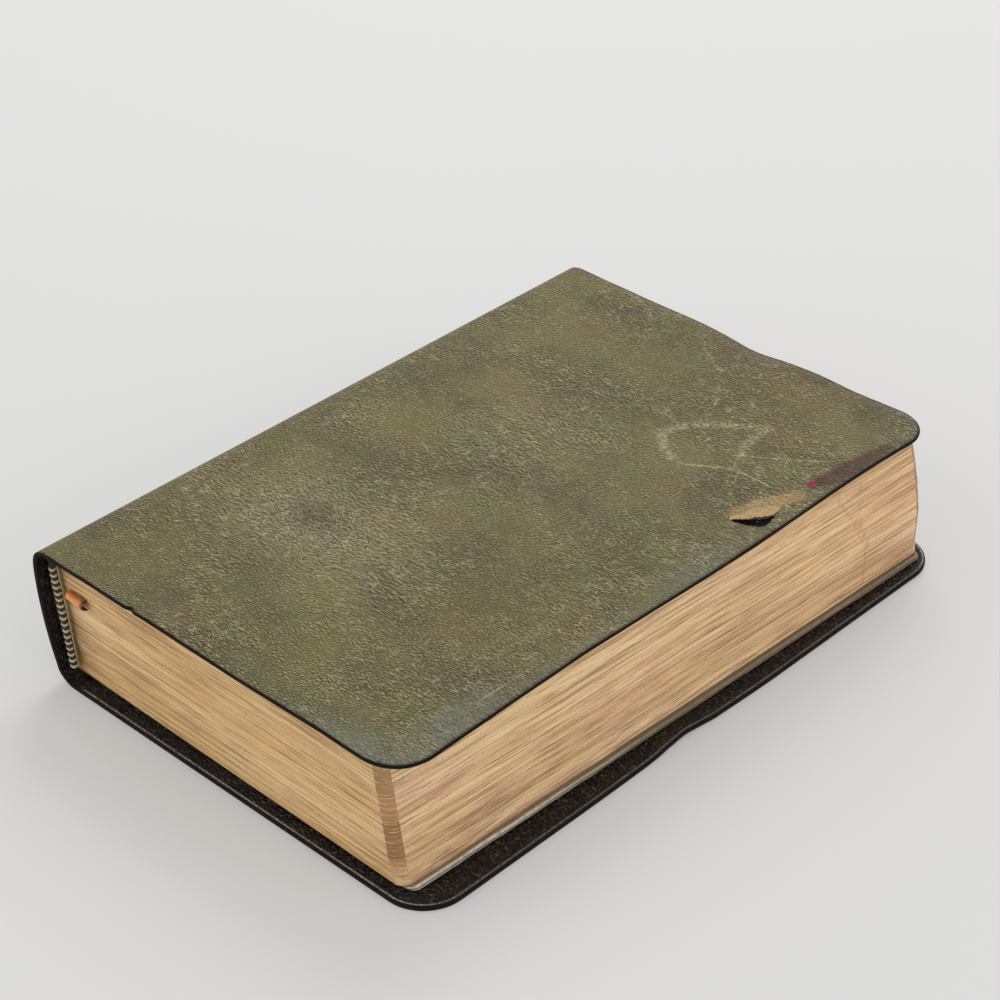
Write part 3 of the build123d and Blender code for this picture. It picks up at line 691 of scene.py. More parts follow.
def finish_cover(g, band=13.0):
    X, Y, Z, NX, NZ, S, th = (g[k] for k in ("X", "Y", "Z", "NX", "NZ", "S", "th"))
    nr, nc, ncp, sgn, dedge = g["nr"], g["nc"], g["ncp"], g["sgn"], g["dedge"]
    mx, my, mz, oz = shape_cover(g)
    PX = X + mx + NX * 0.0; PY = Y + my; PZ = Z + mz
    out = np.stack([PX, PY, PZ + sgn * oz], -1)
    inn = np.stack([PX - NX * th, PY, PZ - NZ * th], -1)
    rel = inner_relief(g, X, Y, dedge)
    flatc = smooth(x_joint(g), x_joint(g) + 3, X)
    inn[..., 2] -= sgn * rel * flatc
    # outer grid
    idx_o = np.arange(nr * nc).reshape(nr, nc)
    idx_i = idx_o + nr * nc
    verts = [out.reshape(-1, 3), inn.reshape(-1, 3)]
    faces = quads(idx_o, flip=False)
    # inner grid, without its hidden middle
    c0 = int(np.searchsorted(X[nr // 2], x_joint(g) + 8.0))
    c1 = int(np.searchsorted(X[nr // 2], g["fore"] - band))
    r0 = int(np.searchsorted(Y[:, 0], band)); r1 = int(np.searchsorted(Y[:, 0], LEN - band))
    for r in range(nr - 1):
        for c in range(nc - 1):
            if r0 <= r < r1 and c0 <= c < c1:
                continue
            faces.append((int(idx_i[r, c]), int(idx_i[r + 1, c]), int(idx_i[r + 1, c + 1]), int(idx_i[r, c + 1])))
    loop = [idx_i[r0, c] for c in range(c0, c1)] + [idx_i[r, c1] for r in range(r0, r1)] + \
           [idx_i[r1, c] for c in range(c1, c0, -1)] + [idx_i[r, c0] for r in range(r1, r0, -1)]
    faces.append(tuple(int(v) for v in loop))
    # rolled rim: head edge, fore edge with its corners, tail edge
    bound = [(0, c, (0.0, -1.0)) for c in range(0, nc - 1)]
    bound += [(r, nc - 1, tuple(g["dirs"][r])) for r in range(nr)]
    bound += [(nr - 1, c, (0.0, 1.0)) for c in range(nc - 2, -1, -1)]
    K = 7
    base = 2 * nr * nc
    rv, attr_rows = [], []
    ring = np.zeros((len(bound), K + 1), int)
    nxt = base
    for b, (r, c, d) in enumerate(bound):
        po, pi_ = out[r, c], inn[r, c]
        mid, half = (po + pi_) / 2, (po - pi_) / 2
        ring[b, 0] = idx_o[r, c]; ring[b, K] = idx_i[r, c]
        for k in range(1, K):
            a = math.pi * k / K
            ca, sa = math.cos(a), math.sin(a)
            ca = math.copysign(abs(ca) ** 0.75, ca); sa = abs(sa) ** 0.75
            p = mid + half * ca + np.array([d[0], d[1], 0.0]) * EDGE * sa
            rv.append(p); attr_rows.append((r, c, k / K)); ring[b, k] = nxt; nxt += 1
    verts.append(np.array(rv))
    faces += quads(ring)
    # the cut across the middle of the spine, closed
    mid_o, mid_i = idx_o[:, 0], idx_i[:, 0]
    for r in range(nr - 1):
        faces.append((int(mid_o[r]), int(mid_o[r + 1]), int(mid_i[r + 1]), int(mid_i[r])))
    cap0 = [int(v) for v in ring[0]]; cap1 = [int(v) for v in ring[-1]]
    faces.append(tuple(cap0)); faces.append(tuple(reversed(cap1)))
    verts = np.vstack(verts)
    N = len(verts)
    # attributes
    A = {}
    far = np.full((nr, nc), 50.0)

    def pack(o, i, fn):
        a = np.zeros(N); a[:nr * nc] = o.ravel(); a[nr * nc:2 * nr * nc] = i.ravel()
        a[2 * nr * nc:] = [fn(r, c, t) for r, c, t in attr_rows]
        return a

    zero = np.zeros((nr, nc))
    # a thin dark band on the outer face next to the rim: painted shade running onto the edge
    inner_o = 1 - smooth(0.0, 0.45, dedge - EDGE * 0.8)
    inner_o = inner_o * (smooth(0, 6, X) if g["upper"] else 1.0) * 0.85
    A["inner"] = pack(inner_o, zero + 1, lambda r, c, t: min(1.0, 0.75 + 2 * t))
    A["rim"] = pack(zero, zero, lambda r, c, t: 1.0)
    A["line"] = pack(zero, np.exp(-((dedge - 0.60) / 0.20) ** 2) * flatc, lambda r, c, t: 0.0)
    if g["upper"]:
        A["sheen_and_rub"] = pack(sheen_and_rub_map(X, Y, dedge), zero, lambda r, c, t: 0.0)
        A["crack"] = pack(np.clip(gauss(np.hypot((X - 40) / 25, (Y - 53) / 15), 1.0) * 1.15
                          + 0.35 * gauss(np.hypot((X - 52) / 26, (Y - 118) / 20), 1.0), 0, 1), zero, lambda r, c, t: 0.0)
        A["dark"] = pack(np.clip(gauss(np.hypot((X - 38.8) / 7.5, (Y - 56.4) / 6), 1.0) + 0.5 * gauss(np.hypot((X - 101) / 5, (Y - 152) / 5), 1.0)
                         + 0.35 * gauss(np.hypot((X - 14) / 22, (Y - 12) / 16), 1.0), 0, 1), zero, lambda r, c, t: 0.0)
        L1 = [(85.2, 133.7), (80.1, 136.5), (75.6, 140.6), (77.2, 146.3), (80.4, 150.3), (87.2, 155.9), (94.7, 160.4)]
        L2 = [(94.7, 160.4), (94.6, 156.0), (95.2, 151.0), (96.0, 148.0), (98.5, 144.6)]
        L3 = [(85.2, 133.7), (89.2, 133.4), (94.9, 137.0), (100.3, 140.1)]
        A["dpale"] = pack(np.minimum.reduce([dist_line(X, Y, L1), dist_line(X, Y, L2) + 0.3, dist_line(X, Y, L3) + 0.9]), far, lambda r, c, t: 50.0)
        scr = [[(89.2, 133.4), (94.9, 137.0), (100.3, 140.1), (106.6, 140.4), (112.2, 140.1)],
               [(95.9, 144.7), (100.9, 148.1), (108.5, 153.8), (115.4, 159.0)], [(118.2, 30.4), (118.6, 41.0), (118.8, 51.6)],
               [(53.7, 183.3), (56.0, 180.0), (62.0, 176.5), (67.8, 173.8)]]
        A["dscr"] = pack(np.min([dist_line(X, Y, l) for l in scr], axis=0), far, lambda r, c, t: 50.0)
        A["dtan"] = pack(dist_line(X, Y, [(112.8, 126.0), (114.6, 131.5), (116.6, 136.5), (118.6, 142.0)]) - 0.9, far, lambda r, c, t: 50.0)
        A["dmar"] = pack(dist_line(X, Y, [(118.6, 147.4), (120.4, 154.0), (121.0, 165.0), (121.4, 174.0)])
                         - np.interp(Y, [146, 151, 160, 168, 175], [0.9, 2.5, 2.9, 2.1, 1.0]), far, lambda r, c, t: 50.0)
        A["dspot"] = pack(np.hypot((X - 118.3) / 1.0, (Y - 148.0) / 1.25), far, lambda r, c, t: 50.0)
        tear = np.maximum.reduce([1.1 - np.hypot((X - 53.7) / 1.1, (Y - 183.2) / 0.9), 1.0 - np.hypot((X - 61.2) / 0.55, (Y - 69.6) / 0.55),
                                  1.0 - np.hypot((X - 52.3) / 0.5, (Y - 37.5) / 0.4), 1.25 * crescent(X, Y) - 0.1,
                                  1.0 - np.hypot((X - 34.0) / 2.2, (Y - 0.4) / 1.0)])
        A["tear"] = pack(np.clip(tear, 0, 1), zero, lambda r, c, t: 0.0)
    else:
        for k in ("sheen_and_rub", "crack", "dark", "tear"):
            A[k] = np.zeros(N)
        # lower cover: darker towards the spine
        A["dark"] = pack(0.5 * (1 - smooth(0, 30, X)), zero, lambda r, c, t: 0.0)
        for k in ("dpale", "dscr", "dtan", "dmar", "dspot"):
            A[k] = np.full(N, 50.0)
    rcv = np.zeros((N, 3))
    lay = 0.0 if g["upper"] else 300.0
    rcv[:nr * nc, 0] = S.ravel(); rcv[:nr * nc, 1] = Y.ravel(); rcv[:nr * nc, 2] = lay
    rcv[nr * nc:2 * nr * nc, 0] = S.ravel(); rcv[nr * nc:2 * nr * nc, 1] = Y.ravel() + 40; rcv[nr * nc:2 * nr * nc, 2] = lay + 90
    for j, (r, c, t) in enumerate(attr_rows):
        rcv[2 * nr * nc + j] = (S[r, c] + 0.6 * t, Y[r, c] + 1.4 * t, lay + 90)
    A["rc"] = rcv
    return build(g["name"], verts, faces, g["mat"], A)


def x_joint(g):
    return 4.0 if g["upper"] else 9.0


# mask of the blue-grey painted sheen and rubbing along the near corner and fore edge
def sheen_and_rub_map(X, Y, dedge):
    near = gauss(np.hypot(np.maximum(0, 112 - X) / 11, np.maximum(0, Y - 16) / 15), 1.0) * (1 - smooth(2, 13, dedge))
    edge = (1 - smooth(0.6, 5.5, dedge)) * smooth(70, 112, X) * (0.35 + 0.65 * smooth(140, 20, Y)) * (X > 60)
    mid = 0.75 * gauss(np.hypot((X - 120.5) / 3.5, (Y - 104) / 15), 1.0)
    streak = 0.8 * gauss(dist_line(X, Y, [(116.5, 20), (117.6, 34)]), 2.2)
    return np.clip(near * 0.9 + edge * 0.55 + mid + streak, 0, 1)


LEATHER = leather_material()
nq = 168
q_up = np.linspace(0, 1, nq)
g_up = cover_skin("back_leather_skin", True, LEATHER, 0.78, q_up, 4.0)
skin_up = finish_cover(g_up)
ql = np.r_[np.linspace(0, 0.885, 70)[:-1], np.linspace(0.885, 1, 36)]
g_lw = cover_skin("front_leather_skin", False, LEATHER, 0.55, ql, 8.6)
skin_lw = finish_cover(g_lw)
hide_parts("back_cover_leather", "spine_leather")
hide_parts("front_cover_leather", "spine_leather")


def at(x, y, z):
    return tuple(world((x, y, z)))


def card(name, g, z0, z1, inset, mat, node, body):
    """The thin card inside a cover, following the waves of the skin."""
    ys, cut, dirs = skin_rows(LEN, R_CORNER, inset, 2.0)
    xs = np.r_[np.linspace(0, 0.88, 26)[:-1], np.linspace(0.88, 1, 14)]
    xb = x_joint(g) + 0.05
    xm = g["fore"] - cut
    X = xb + xs[None, :] * (xm[:, None] - xb); Y = np.repeat(ys[:, None], len(xs), 1)
    dx = g["fore"] - X; dy = np.minimum(Y, LEN - Y)
    cxy = (dx < R_CORNER) & (dy < R_CORNER)
    de = np.where(cxy, R_CORNER - np.hypot(R_CORNER - dx, R_CORNER - dy), np.minimum(dx, dy))
    gg = dict(g); gg.update(X=X, Y=Y, S=X, dedge=de)
    mx, my, mz, oz = shape_cover(gg)
    nr, nc = X.shape
    top = np.stack([X + mx, Y + my, z1 + mz], -1).reshape(-1, 3); bot = np.stack([X + mx, Y + my, z0 + mz], -1).reshape(-1, 3)
    a = np.arange(nr * nc).reshape(nr, nc); b = a + nr * nc
    F = quads(a) + quads(b)
    rim = list(a[0, :]) + list(a[1:, -1]) + list(a[-1, -2::-1]) + list(a[-2:0:-1, 0])
    rib = list(b[0, :]) + list(b[1:, -1]) + list(b[-1, -2::-1]) + list(b[-2:0:-1, 0])
    for m in range(len(rim)):
        m2 = (m + 1) % len(rim)
        F.append((int(rim[m]), int(rim[m2]), int(rib[m2]), int(rib[m])))
    ob = build(name, np.vstack([top, bot]), F, mat, {}, smooth_shade=False)
    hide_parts(node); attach(ob, body)


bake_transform(skin_up)
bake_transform(skin_lw)


# ------------------------------------------------------------------ leaves
def fore_x(y, z):
    """Fore edge of the leaves: leans back with height, bellies at the tail."""
    h = np.interp(z, [2, 6, 9.7, 20, 31, 36.4], [121.2, 120.0, 119.2, 117.6, 115.9, 115.1])
    t = np.interp(z, [2, 6.6, 11, 16, 20, 24, 28, 32, 36.4], [126.0, 125.7, 125.9, 126.0, 125.6, 125.0, 124.2, 123.2, 121.9])
    k = np.clip((y - 3.5) / 182.0, 0, 1)
    return h + (t - h) * k ** 0.9


def leaf_outline(z, proud=0.0, nh=96, nf=150, na=9, nt=80, r_near=3.0, r_far=3.0):
    """Points round the leaves at height z: along the head from the spine, near
    corner, fore edge, far corner, tail, back to the spine. Also outward normal
    and a flag for the corners and the side."""
    x_sp = spine_x(min(max(z, 3.3), 34)) + 2.4
    hy = lambda x: 4.3 - 1.3 * x / 121.0
    ty = 186.2
    pts, nrm, flag, side = [], [], [], []
    xf = float(fore_x(4.0, z)) + proud
    for i in range(nh):
        x = x_sp + (xf - r_near - x_sp) * i / (nh - 1)
        pts.append((x, hy(x))); nrm.append((0, -1)); flag.append(0); side.append(0)
    cx, cy = xf - r_near, hy(xf - r_near) + r_near
    for i in range(1, na):
        a = math.pi / 2 * i / na
        pts.append((cx + r_near * math.sin(a), cy - r_near * math.cos(a)))
        nrm.append((math.sin(a), -math.cos(a))); flag.append(1); side.append(i / na)
    xf2 = float(fore_x(184.0, z)) + proud
    y0, y1 = cy, ty - r_far
    for i in range(nf):
        y = y0 + (y1 - y0) * i / (nf - 1)
        pts.append((float(fore_x(y, z)) + proud, y)); nrm.append((1, 0)); flag.append(0); side.append(1)
    cx, cy = xf2 - r_far, ty - r_far
    for i in range(1, na):
        a = math.pi / 2 * i / na
        pts.append((cx + r_far * math.cos(a), cy + r_far * math.sin(a)))
        nrm.append((math.cos(a), math.sin(a))); flag.append(1); side.append(1 - i / na)
    for i in range(nt):
        x = xf2 - r_far + (x_sp - (xf2 - r_far)) * i / (nt - 1)
        pts.append((x, ty)); nrm.append((0, 1)); flag.append(0); side.append(0)
    return np.array(pts), np.array(nrm, float), np.array(flag, float), np.array(side, float)


def closed_stack(name, zs, mat, proud=None, disp=None, attrs=True):
    """A closed body lofted through the leaf outline at each height."""
    rows, S, NR = [], None, None
    for i, z in enumerate(zs):
        p, n, fl, sd = leaf_outline(z, 0.0 if proud is None else proud[i])
        if S is None:
            S = np.r_[0, np.cumsum(np.hypot(*np.diff(p, axis=0).T))]
        rows.append(np.c_[p, np.full(len(p), z)]); NR = n
    P = np.array(rows)
    nz, npn = P.shape[:2]
    if disp is not None:
        d = disp(S[None, :], np.array(zs)[:, None], fl[None, :])
        P[..., 0] += NR[None, :, 0] * d; P[..., 1] += NR[None, :, 1] * d
    idx = np.arange(nz * npn).reshape(nz, npn)
    idx = np.hstack([idx, idx[:, :1]])
    faces = quads(idx)
    faces.append(tuple(int(v) for v in idx[0, :-1][::-1])); faces.append(tuple(int(v) for v in idx[-1, :-1]))
    V = P.reshape(-1, 3)
    A = {}
    SS = np.repeat(S[None, :], nz, 0); ZZ = P[..., 2]
    A["rc"] = np.stack([SS, ZZ, np.zeros_like(SS)], -1).reshape(-1, 3)
    A["corner"] = np.repeat(fl[None, :], nz, 0).ravel()
    A["side"] = np.repeat(sd[None, :], nz, 0).ravel()
    XX, YY = P[..., 0], P[..., 1]
    fore = np.repeat((sd > 0.5)[None, :], nz, 0)
    A["low"] = (np.exp(-((ZZ - 3.0) / 3.4) ** 2) * 1.0).ravel()
    # top 3 mm of the leaves, under the overhanging upper cover: carries the painted shade
    A["top"] = (smooth(33.0, 36.0, ZZ)).ravel()
    st = 0.9 * gauss(np.hypot((YY - 28) / 16, (ZZ - 9) / 3.2), 1.0) * fore
    st = st + 1.0 * np.exp(-((ZZ - 3.6) / 1.5) ** 2) * fore * smooth(150, 10, YY) * 0.9
    st = st + 0.7 * gauss(np.hypot((XX - 8) / 5.5, (ZZ - 9) / 9), 1.0) * (~fore)
    st = st + 0.45 * gauss(np.hypot((XX - 6) / 3.0, (ZZ - 20) / 14), 1.0) * (~fore)
    A["stain"] = np.clip(st, 0, 1).ravel()
    hair = np.full(XX.shape, 9.0)
    for l in ([(155.8, 41.4), (154.7, 31.5), (158.5, 25.0), (163.1, 15.0), (163.0, 4.0)],
              [(163.7, 34.5), (161.0, 24.0), (164.5, 15.0)]):
        hair = np.minimum(hair, dist_line(YY, ZZ, l))
    A["hair"] = np.where(fore, hair, 9.0).ravel()
    return build(name, V, faces, mat, A)


def leaf_relief(s, z, flag):
    z2 = z + 0.18 * vn(s / 60.0, z / 9.0, 81) + 0.05 * vn(s / 11.0, z / 4, 82)
    d = 0.060 * vn(s / 300.0, z2 / 0.34, 83) + 0.075 * vn(s / 220.0 + 5, z2 / 1.05, 84)
    d = d + 0.13 * vn(s / 160.0 + 9, z2 / 3.0, 85) + 0.10 * vn(s / 45.0, z2 / 9.0, 86)
    gap = np.clip(1 - np.abs(vn(s / 120.0, z2 / 0.9, 87)) * 7, 0, 1) * smooth(0.1, 0.6, vn(s / 50.0, z2 / 3.0, 88))
    return (d - 0.10 * gap) * (1 - 0.65 * flag)


PAGES = page_material()
z_split = 2.72
zs = np.linspace(z_split, Z_LEAF1 - 0.3, 206)
block = closed_stack("page_block", zs, PAGES, disp=leaf_relief)
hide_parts("text_block"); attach(block, "book_block")


def sheet_material():
    """Endleaves seen edge-on: one nearly white, the others grey and olive."""
    n = Nodes("endleaves_aged")
    rc = n.attr("rc", True)
    sep = n.add("SeparateXYZ"); n.put(sep.inputs[0], rc)
    z = sep.outputs[1]
    f = n.noise(n.scale(rc, (0.5, 9.0, 1.0)), 1.0, 3, 0.6)
    c = n.mix(n.ramp(z, 2.10, 2.17), lin(150, 144, 124), lin(120, 108, 80))
    c = n.mix(n.ramp(z, 2.28, 2.34), c, lin(200, 194, 178))
    c = n.mix(n.ramp(z, 2.45, 2.50), c, lin(128, 108, 84))
    c = n.mix(n.mul(n.ramp(f, 0.45, 0.70), 0.5), c, lin(96, 80, 60))
    c = n.mix(n.ramp(sep.outputs[0], 150.0, 205.0, 0.0, 0.75), c, lin(104, 86, 62))
    return n.surface(c, 0.8, f, dist=0.00004, strength=0.5, spec=0.25)


def sheet_stack(name, specs, mat, node):
    """Loose endpaper sheets: z, thickness and how far each stands proud."""
    V, F, RC = [], [], []
    off = 0
    for z, t, proud, seed in specs:
        p, n, fl, sd = leaf_outline(z, proud)
        S = np.r_[0, np.cumsum(np.hypot(*np.diff(p, axis=0).T))]
        wob = 0.10 * vn(S / 14.0, S * 0 + seed, 91 + seed) + 0.05 * vn(S / 3.5, S * 0 + seed, 95 + seed)
        p = p + n * (wob * 1.6 - proud * (1 - np.clip(sd * 1.0, 0, 1)))[:, None]
        zz = 0.05 * vn(S / 18.0, S * 0, 97 + seed)
        k = len(p)
        V += [np.c_[p, z + zz], np.c_[p, z + t + zz]]
        RC += [np.c_[S, S * 0 + z, S * 0], np.c_[S, S * 0 + z + t, S * 0]]
        a = np.arange(k) + off; b = a + k
        idx = np.vstack([np.r_[a, a[:1]], np.r_[b, b[:1]]])
        F += quads(idx)
        F.append(tuple(int(v) for v in a[::-1])); F.append(tuple(int(v) for v in b))
        off += 2 * k
    ob = build(name, np.vstack(V), F, mat, {"rc": np.vstack(RC)}, smooth_shade=False)
    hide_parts(node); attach(ob, "book_block")
    return ob


PAPER_W = paper_material("endpaper_aged", lin(214, 204, 184), lin(176, 160, 136))
PAPER_G = paper_material("pastedown_aged", lin(196, 184, 158), lin(150, 132, 104))
SHEETS = sheet_material()
fly_f = sheet_stack("front_endleaves", [(1.98, 0.13, 1.7, 1), (2.18, 0.10, 1.2, 2), (2.35, 0.10, 1.4, 3), (2.52, 0.12, 0.7, 4)],
                    SHEETS, "front_flyleaf")
fly_b = sheet_stack("back_endleaves", [(Z_LEAF1 - 0.26, 0.2, 0.2, 5)], PAPER_W, "back_flyleaf")


# ------------------------------------------------------------------ torn flap
def flap(name):
    """The lifted tongue of leather over the crescent tear."""
    left = catmull([(112.2, 123.9), (112.3, 126.6), (112.9, 129.8), (114.4, 132.9), (117.6, 135.6)], 8)
    free = catmull([(113.4, 122.2), (116.4, 124.2), (118.7, 127.4), (119.9, 131.0), (119.2, 135.2)], 8)
    k = 15
    top, bot = [], []
    n = len(left)
    for i, (p, q0) in enumerate(zip(left, free)):
        t = i / (n - 1)
        for j in range(k):
            u = j / (k - 1)
            q = p * (1 - u) + q0 * u
            q = q + np.array([1.0, -0.6]) * 0.30 * vn(i * 0.8, 2.0, 301) * smooth(0.7, 1.0, u)
            body = math.sin(math.pi * min(1.0, 0.06 + t * 1.18)) if t < 0.8 else 0.0
            body = max(0.0, body)
            lift = 0.06 + 0.95 * body * u ** 1.6 + 0.10 * math.sin(math.pi * u)
            lift += 0.10 * vn(q[0] / 0.8, q[1] / 0.8, 303) * min(1.0, 4 * u) - 0.30 * (1 - u) ** 4 - 0.25 * smooth(0.8, 1.0, t)
            top.append((q[0], q[1], T + lift))
            bot.append((q[0], q[1], T + lift - 0.38))
    a = np.arange(n * k).reshape(n, k); b = a + n * k
    F = quads(a) + quads(b)
    rim = list(a[0, :]) + list(a[1:, -1]) + list(a[-1, -2::-1]) + list(a[-2:0:-1, 0])
    rib = list(b[0, :]) + list(b[1:, -1]) + list(b[-1, -2::-1]) + list(b[-2:0:-1, 0])
    for m in range(len(rim)):
        m2 = (m + 1) % len(rim)
        F.append((int(rim[m]), int(rim[m2]), int(rib[m2]), int(rib[m])))
    V = np.array(top + bot)
    u = np.tile(np.tile(np.linspace(0, 1, k), n), 2)
    A = {"rc": V.copy(), "edge": u, "under": np.r_[np.zeros(n * k), np.ones(n * k)]}
    return build(name, V, F, flap_material(), A)


def flap_material():
    n = Nodes("leather_torn")
    rc = n.attr("rc", True)
    f = n.noise(n.scale(rc, (1.6, 2.4, 2.0)), 1.0, 4, 0.65)
    g = n.noise(n.scale(rc, (0.5, 0.5, 0.5)), 1.0, 2, 0.5)
    c = n.mix(n.ramp(f, 0.35, 0.65), lin(172, 140, 88), lin(132, 108, 70))
    c = n.mix(n.ramp(n.addm(n.attr("edge"), n.mul(n.math("SUBTRACT", f, 0.5), 0.8)), 0.42, 0.10), c, OLIVE_A)
    sp = n.noise(n.scale(rc, (2.6, 3.2, 2.0)), 1.0, 3, 0.7)
    c = n.mix(n.mul(n.ramp(sp, 0.54, 0.66), 0.6), c, lin(92, 70, 40))
    c = n.mix(n.mul(n.ramp(sp, 0.44, 0.34), 0.5), c, lin(206, 182, 134))
    c = n.mix(n.mul(n.ramp(g, 0.5, 0.7), 0.5), c, lin(108, 84, 52, 0.9))
    # underside of the flap black: painted shade beneath the lifted flap
    c = n.mix(n.attr("under"), c, BLACK)
    return n.surface(c, 0.62, f, dist=0.00014, strength=0.8, spec=0.35)


fl = flap("torn_flap")
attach(fl, "back_cover")


# ------------------------------------------------------------------ headbands
BAND = catmull([(5.35, 4.4), (4.10, 14.0), (2.85, 24.0), (1.45, 33.6)], 16)


def tube(path, r, n=12, closed_ends=True, flat=1.0):
    """A round tube along 3-D points; returns verts, faces, arc and angle."""
    path = np.asarray(path, float)
    tn = np.gradient(path, axis=0); tn /= np.linalg.norm(tn, axis=1)[:, None]
    ref = np.array([0.0, 1.0, 0.0])
    V, S, TH = [], [], []
    s = np.r_[0, np.cumsum(np.linalg.norm(np.diff(path, axis=0), axis=1))]
    rr = np.full(len(path), r) if np.isscalar(r) else np.asarray(r)
    a_prev = None
    for i, p in enumerate(path):
        a = np.cross(tn[i], ref) if a_prev is None else a_prev - tn[i] * np.dot(a_prev, tn[i])
        if np.linalg.norm(a) < 1e-6:
            a = np.cross(tn[i], [1.0, 0.0, 0.0])
        a /= np.linalg.norm(a); a_prev = a
        b = np.cross(tn[i], a)
        for j in range(n):
            th = 2 * math.pi * j / n
            V.append(p + a * rr[i] * math.cos(th) + b * rr[i] * math.sin(th) * flat)
            S.append(s[i]); TH.append(th)
    idx = np.arange(len(path) * n).reshape(len(path), n)
    idx = np.hstack([idx, idx[:, :1]])
    F = quads(idx)
    F.append(tuple(int(v) for v in idx[0, :-1][::-1])); F.append(tuple(int(v) for v in idx[-1, :-1]))
    return np.array(V), F, np.array(S), np.array(TH)


def join(parts):
    V, F, A = [], [], []
    off = 0
    for v, f, a in parts:
        V.append(v); A.append(a)
        F += [tuple(i + off for i in t) for t in f]
        off += len(v)
    return np.vstack(V), F, np.vstack(A)


def band_frame(s, y0, out):
    """Point on the band core at arc share s and its local directions."""
    i = s * (len(BAND) - 1)
    p = np.array([np.interp(i, np.arange(len(BAND)), BAND[:, 0]), np.interp(i, np.arange(len(BAND)), BAND[:, 1])])
    q = np.array([np.interp(min(i + 0.5, len(BAND) - 1), np.arange(len(BAND)), BAND[:, k]) for k in (0, 1)])
    r0 = np.array([np.interp(max(i - 0.5, 0), np.arange(len(BAND)), BAND[:, k]) for k in (0, 1)])
    t = (q - r0); t /= np.hypot(*t)
    P = np.array([p[0], y0, p[1]])
    Tn = np.array([t[0], 0, t[1]])
    U = np.array([0, out, 0.0])              # out of the end of the book
    W = np.array([t[1], 0, -t[0]])           # toward the leaves
    return P, Tn, U, W


def headband(name, y0, out, node):
    core_path = [band_frame(s, y0, out)[0] for s in np.linspace(0.0, 1.0, 40)]
    parts_d, parts_c = [], []
    v, f, s, th = tube(core_path, 0.80, 14)
    parts_d.append((v, f, np.stack([s, th, s * 0], 1)))
    N = 17
    for k in range(N):
        s0 = (k + 0.5) / N
        for tone in (0, 1):
            pts, rad = [], []
            c0 = s0 + (0.25 if tone else -0.10) / N
            for j in range(19):
                u = j / 18
                th = math.radians(-70 + 160 * u)        # over the core
                slant = 0.42 * (u - 0.5) + 0.12 * math.sin(2 * math.pi * u)
                P, Tn, U, W = band_frame(min(max(c0 + slant / N, 0.004), 0.996), y0, out)
                rr = 0.80 + 0.08 * math.sin(math.pi * u)
                pts.append(P + (U * math.cos(th) + W * math.sin(th)) * rr)
                wdt = 0.58 if tone == 0 else 0.46
                rad.append(wdt * (0.55 + 0.45 * math.sin(math.pi * min(1, max(0, u * 1.02))) ** 0.5) * (0.93 + 0.10 * vn(k * 1.7, u * 3, 311 + tone)))
            v, f, s, th2 = tube(pts, rad, 8, flat=0.72)
            (parts_c if tone == 0 else parts_d).append((v, f, np.stack([s + 13.1 * k, th2, s * 0 + k], 1)))
    # bead of crossed threads on the side of the leaves
    bead = []
    for s in np.linspace(0.01, 0.99, 60):
        P, Tn, U, W = band_frame(s, y0, out)
        bead.append(P + W * 0.98 - U * 0.30 + U * 0.06 * math.sin(s * 90))
    v, f, s, th = tube(bead, 0.17, 8)
    parts_c.append((v, f, np.stack([s, th, s * 0 + 40], 1)))
    Vc, Fc, Ac = join(parts_c)
    Vd, Fd, Ad = join(parts_d)
    oc = build(name + "_cream", Vc, Fc, THREAD_C, {"rc": Ac})
    od = build(name + "_black", Vd, Fd, THREAD_D, {"rc": Ad})
    for o in (oc, od):
        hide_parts(node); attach(o, "book_block")


THREAD_C = thread_material("thread_cream", lin(204, 190, 138), lin(128, 110, 66))
THREAD_D = thread_material("thread_black", lin(34, 27, 24), lin(12, 9, 8))
headband("headband_stitches", 2.8, -1.0, "headband")
headband("tailband_stitches", 187.6, 1.0, "tailband")


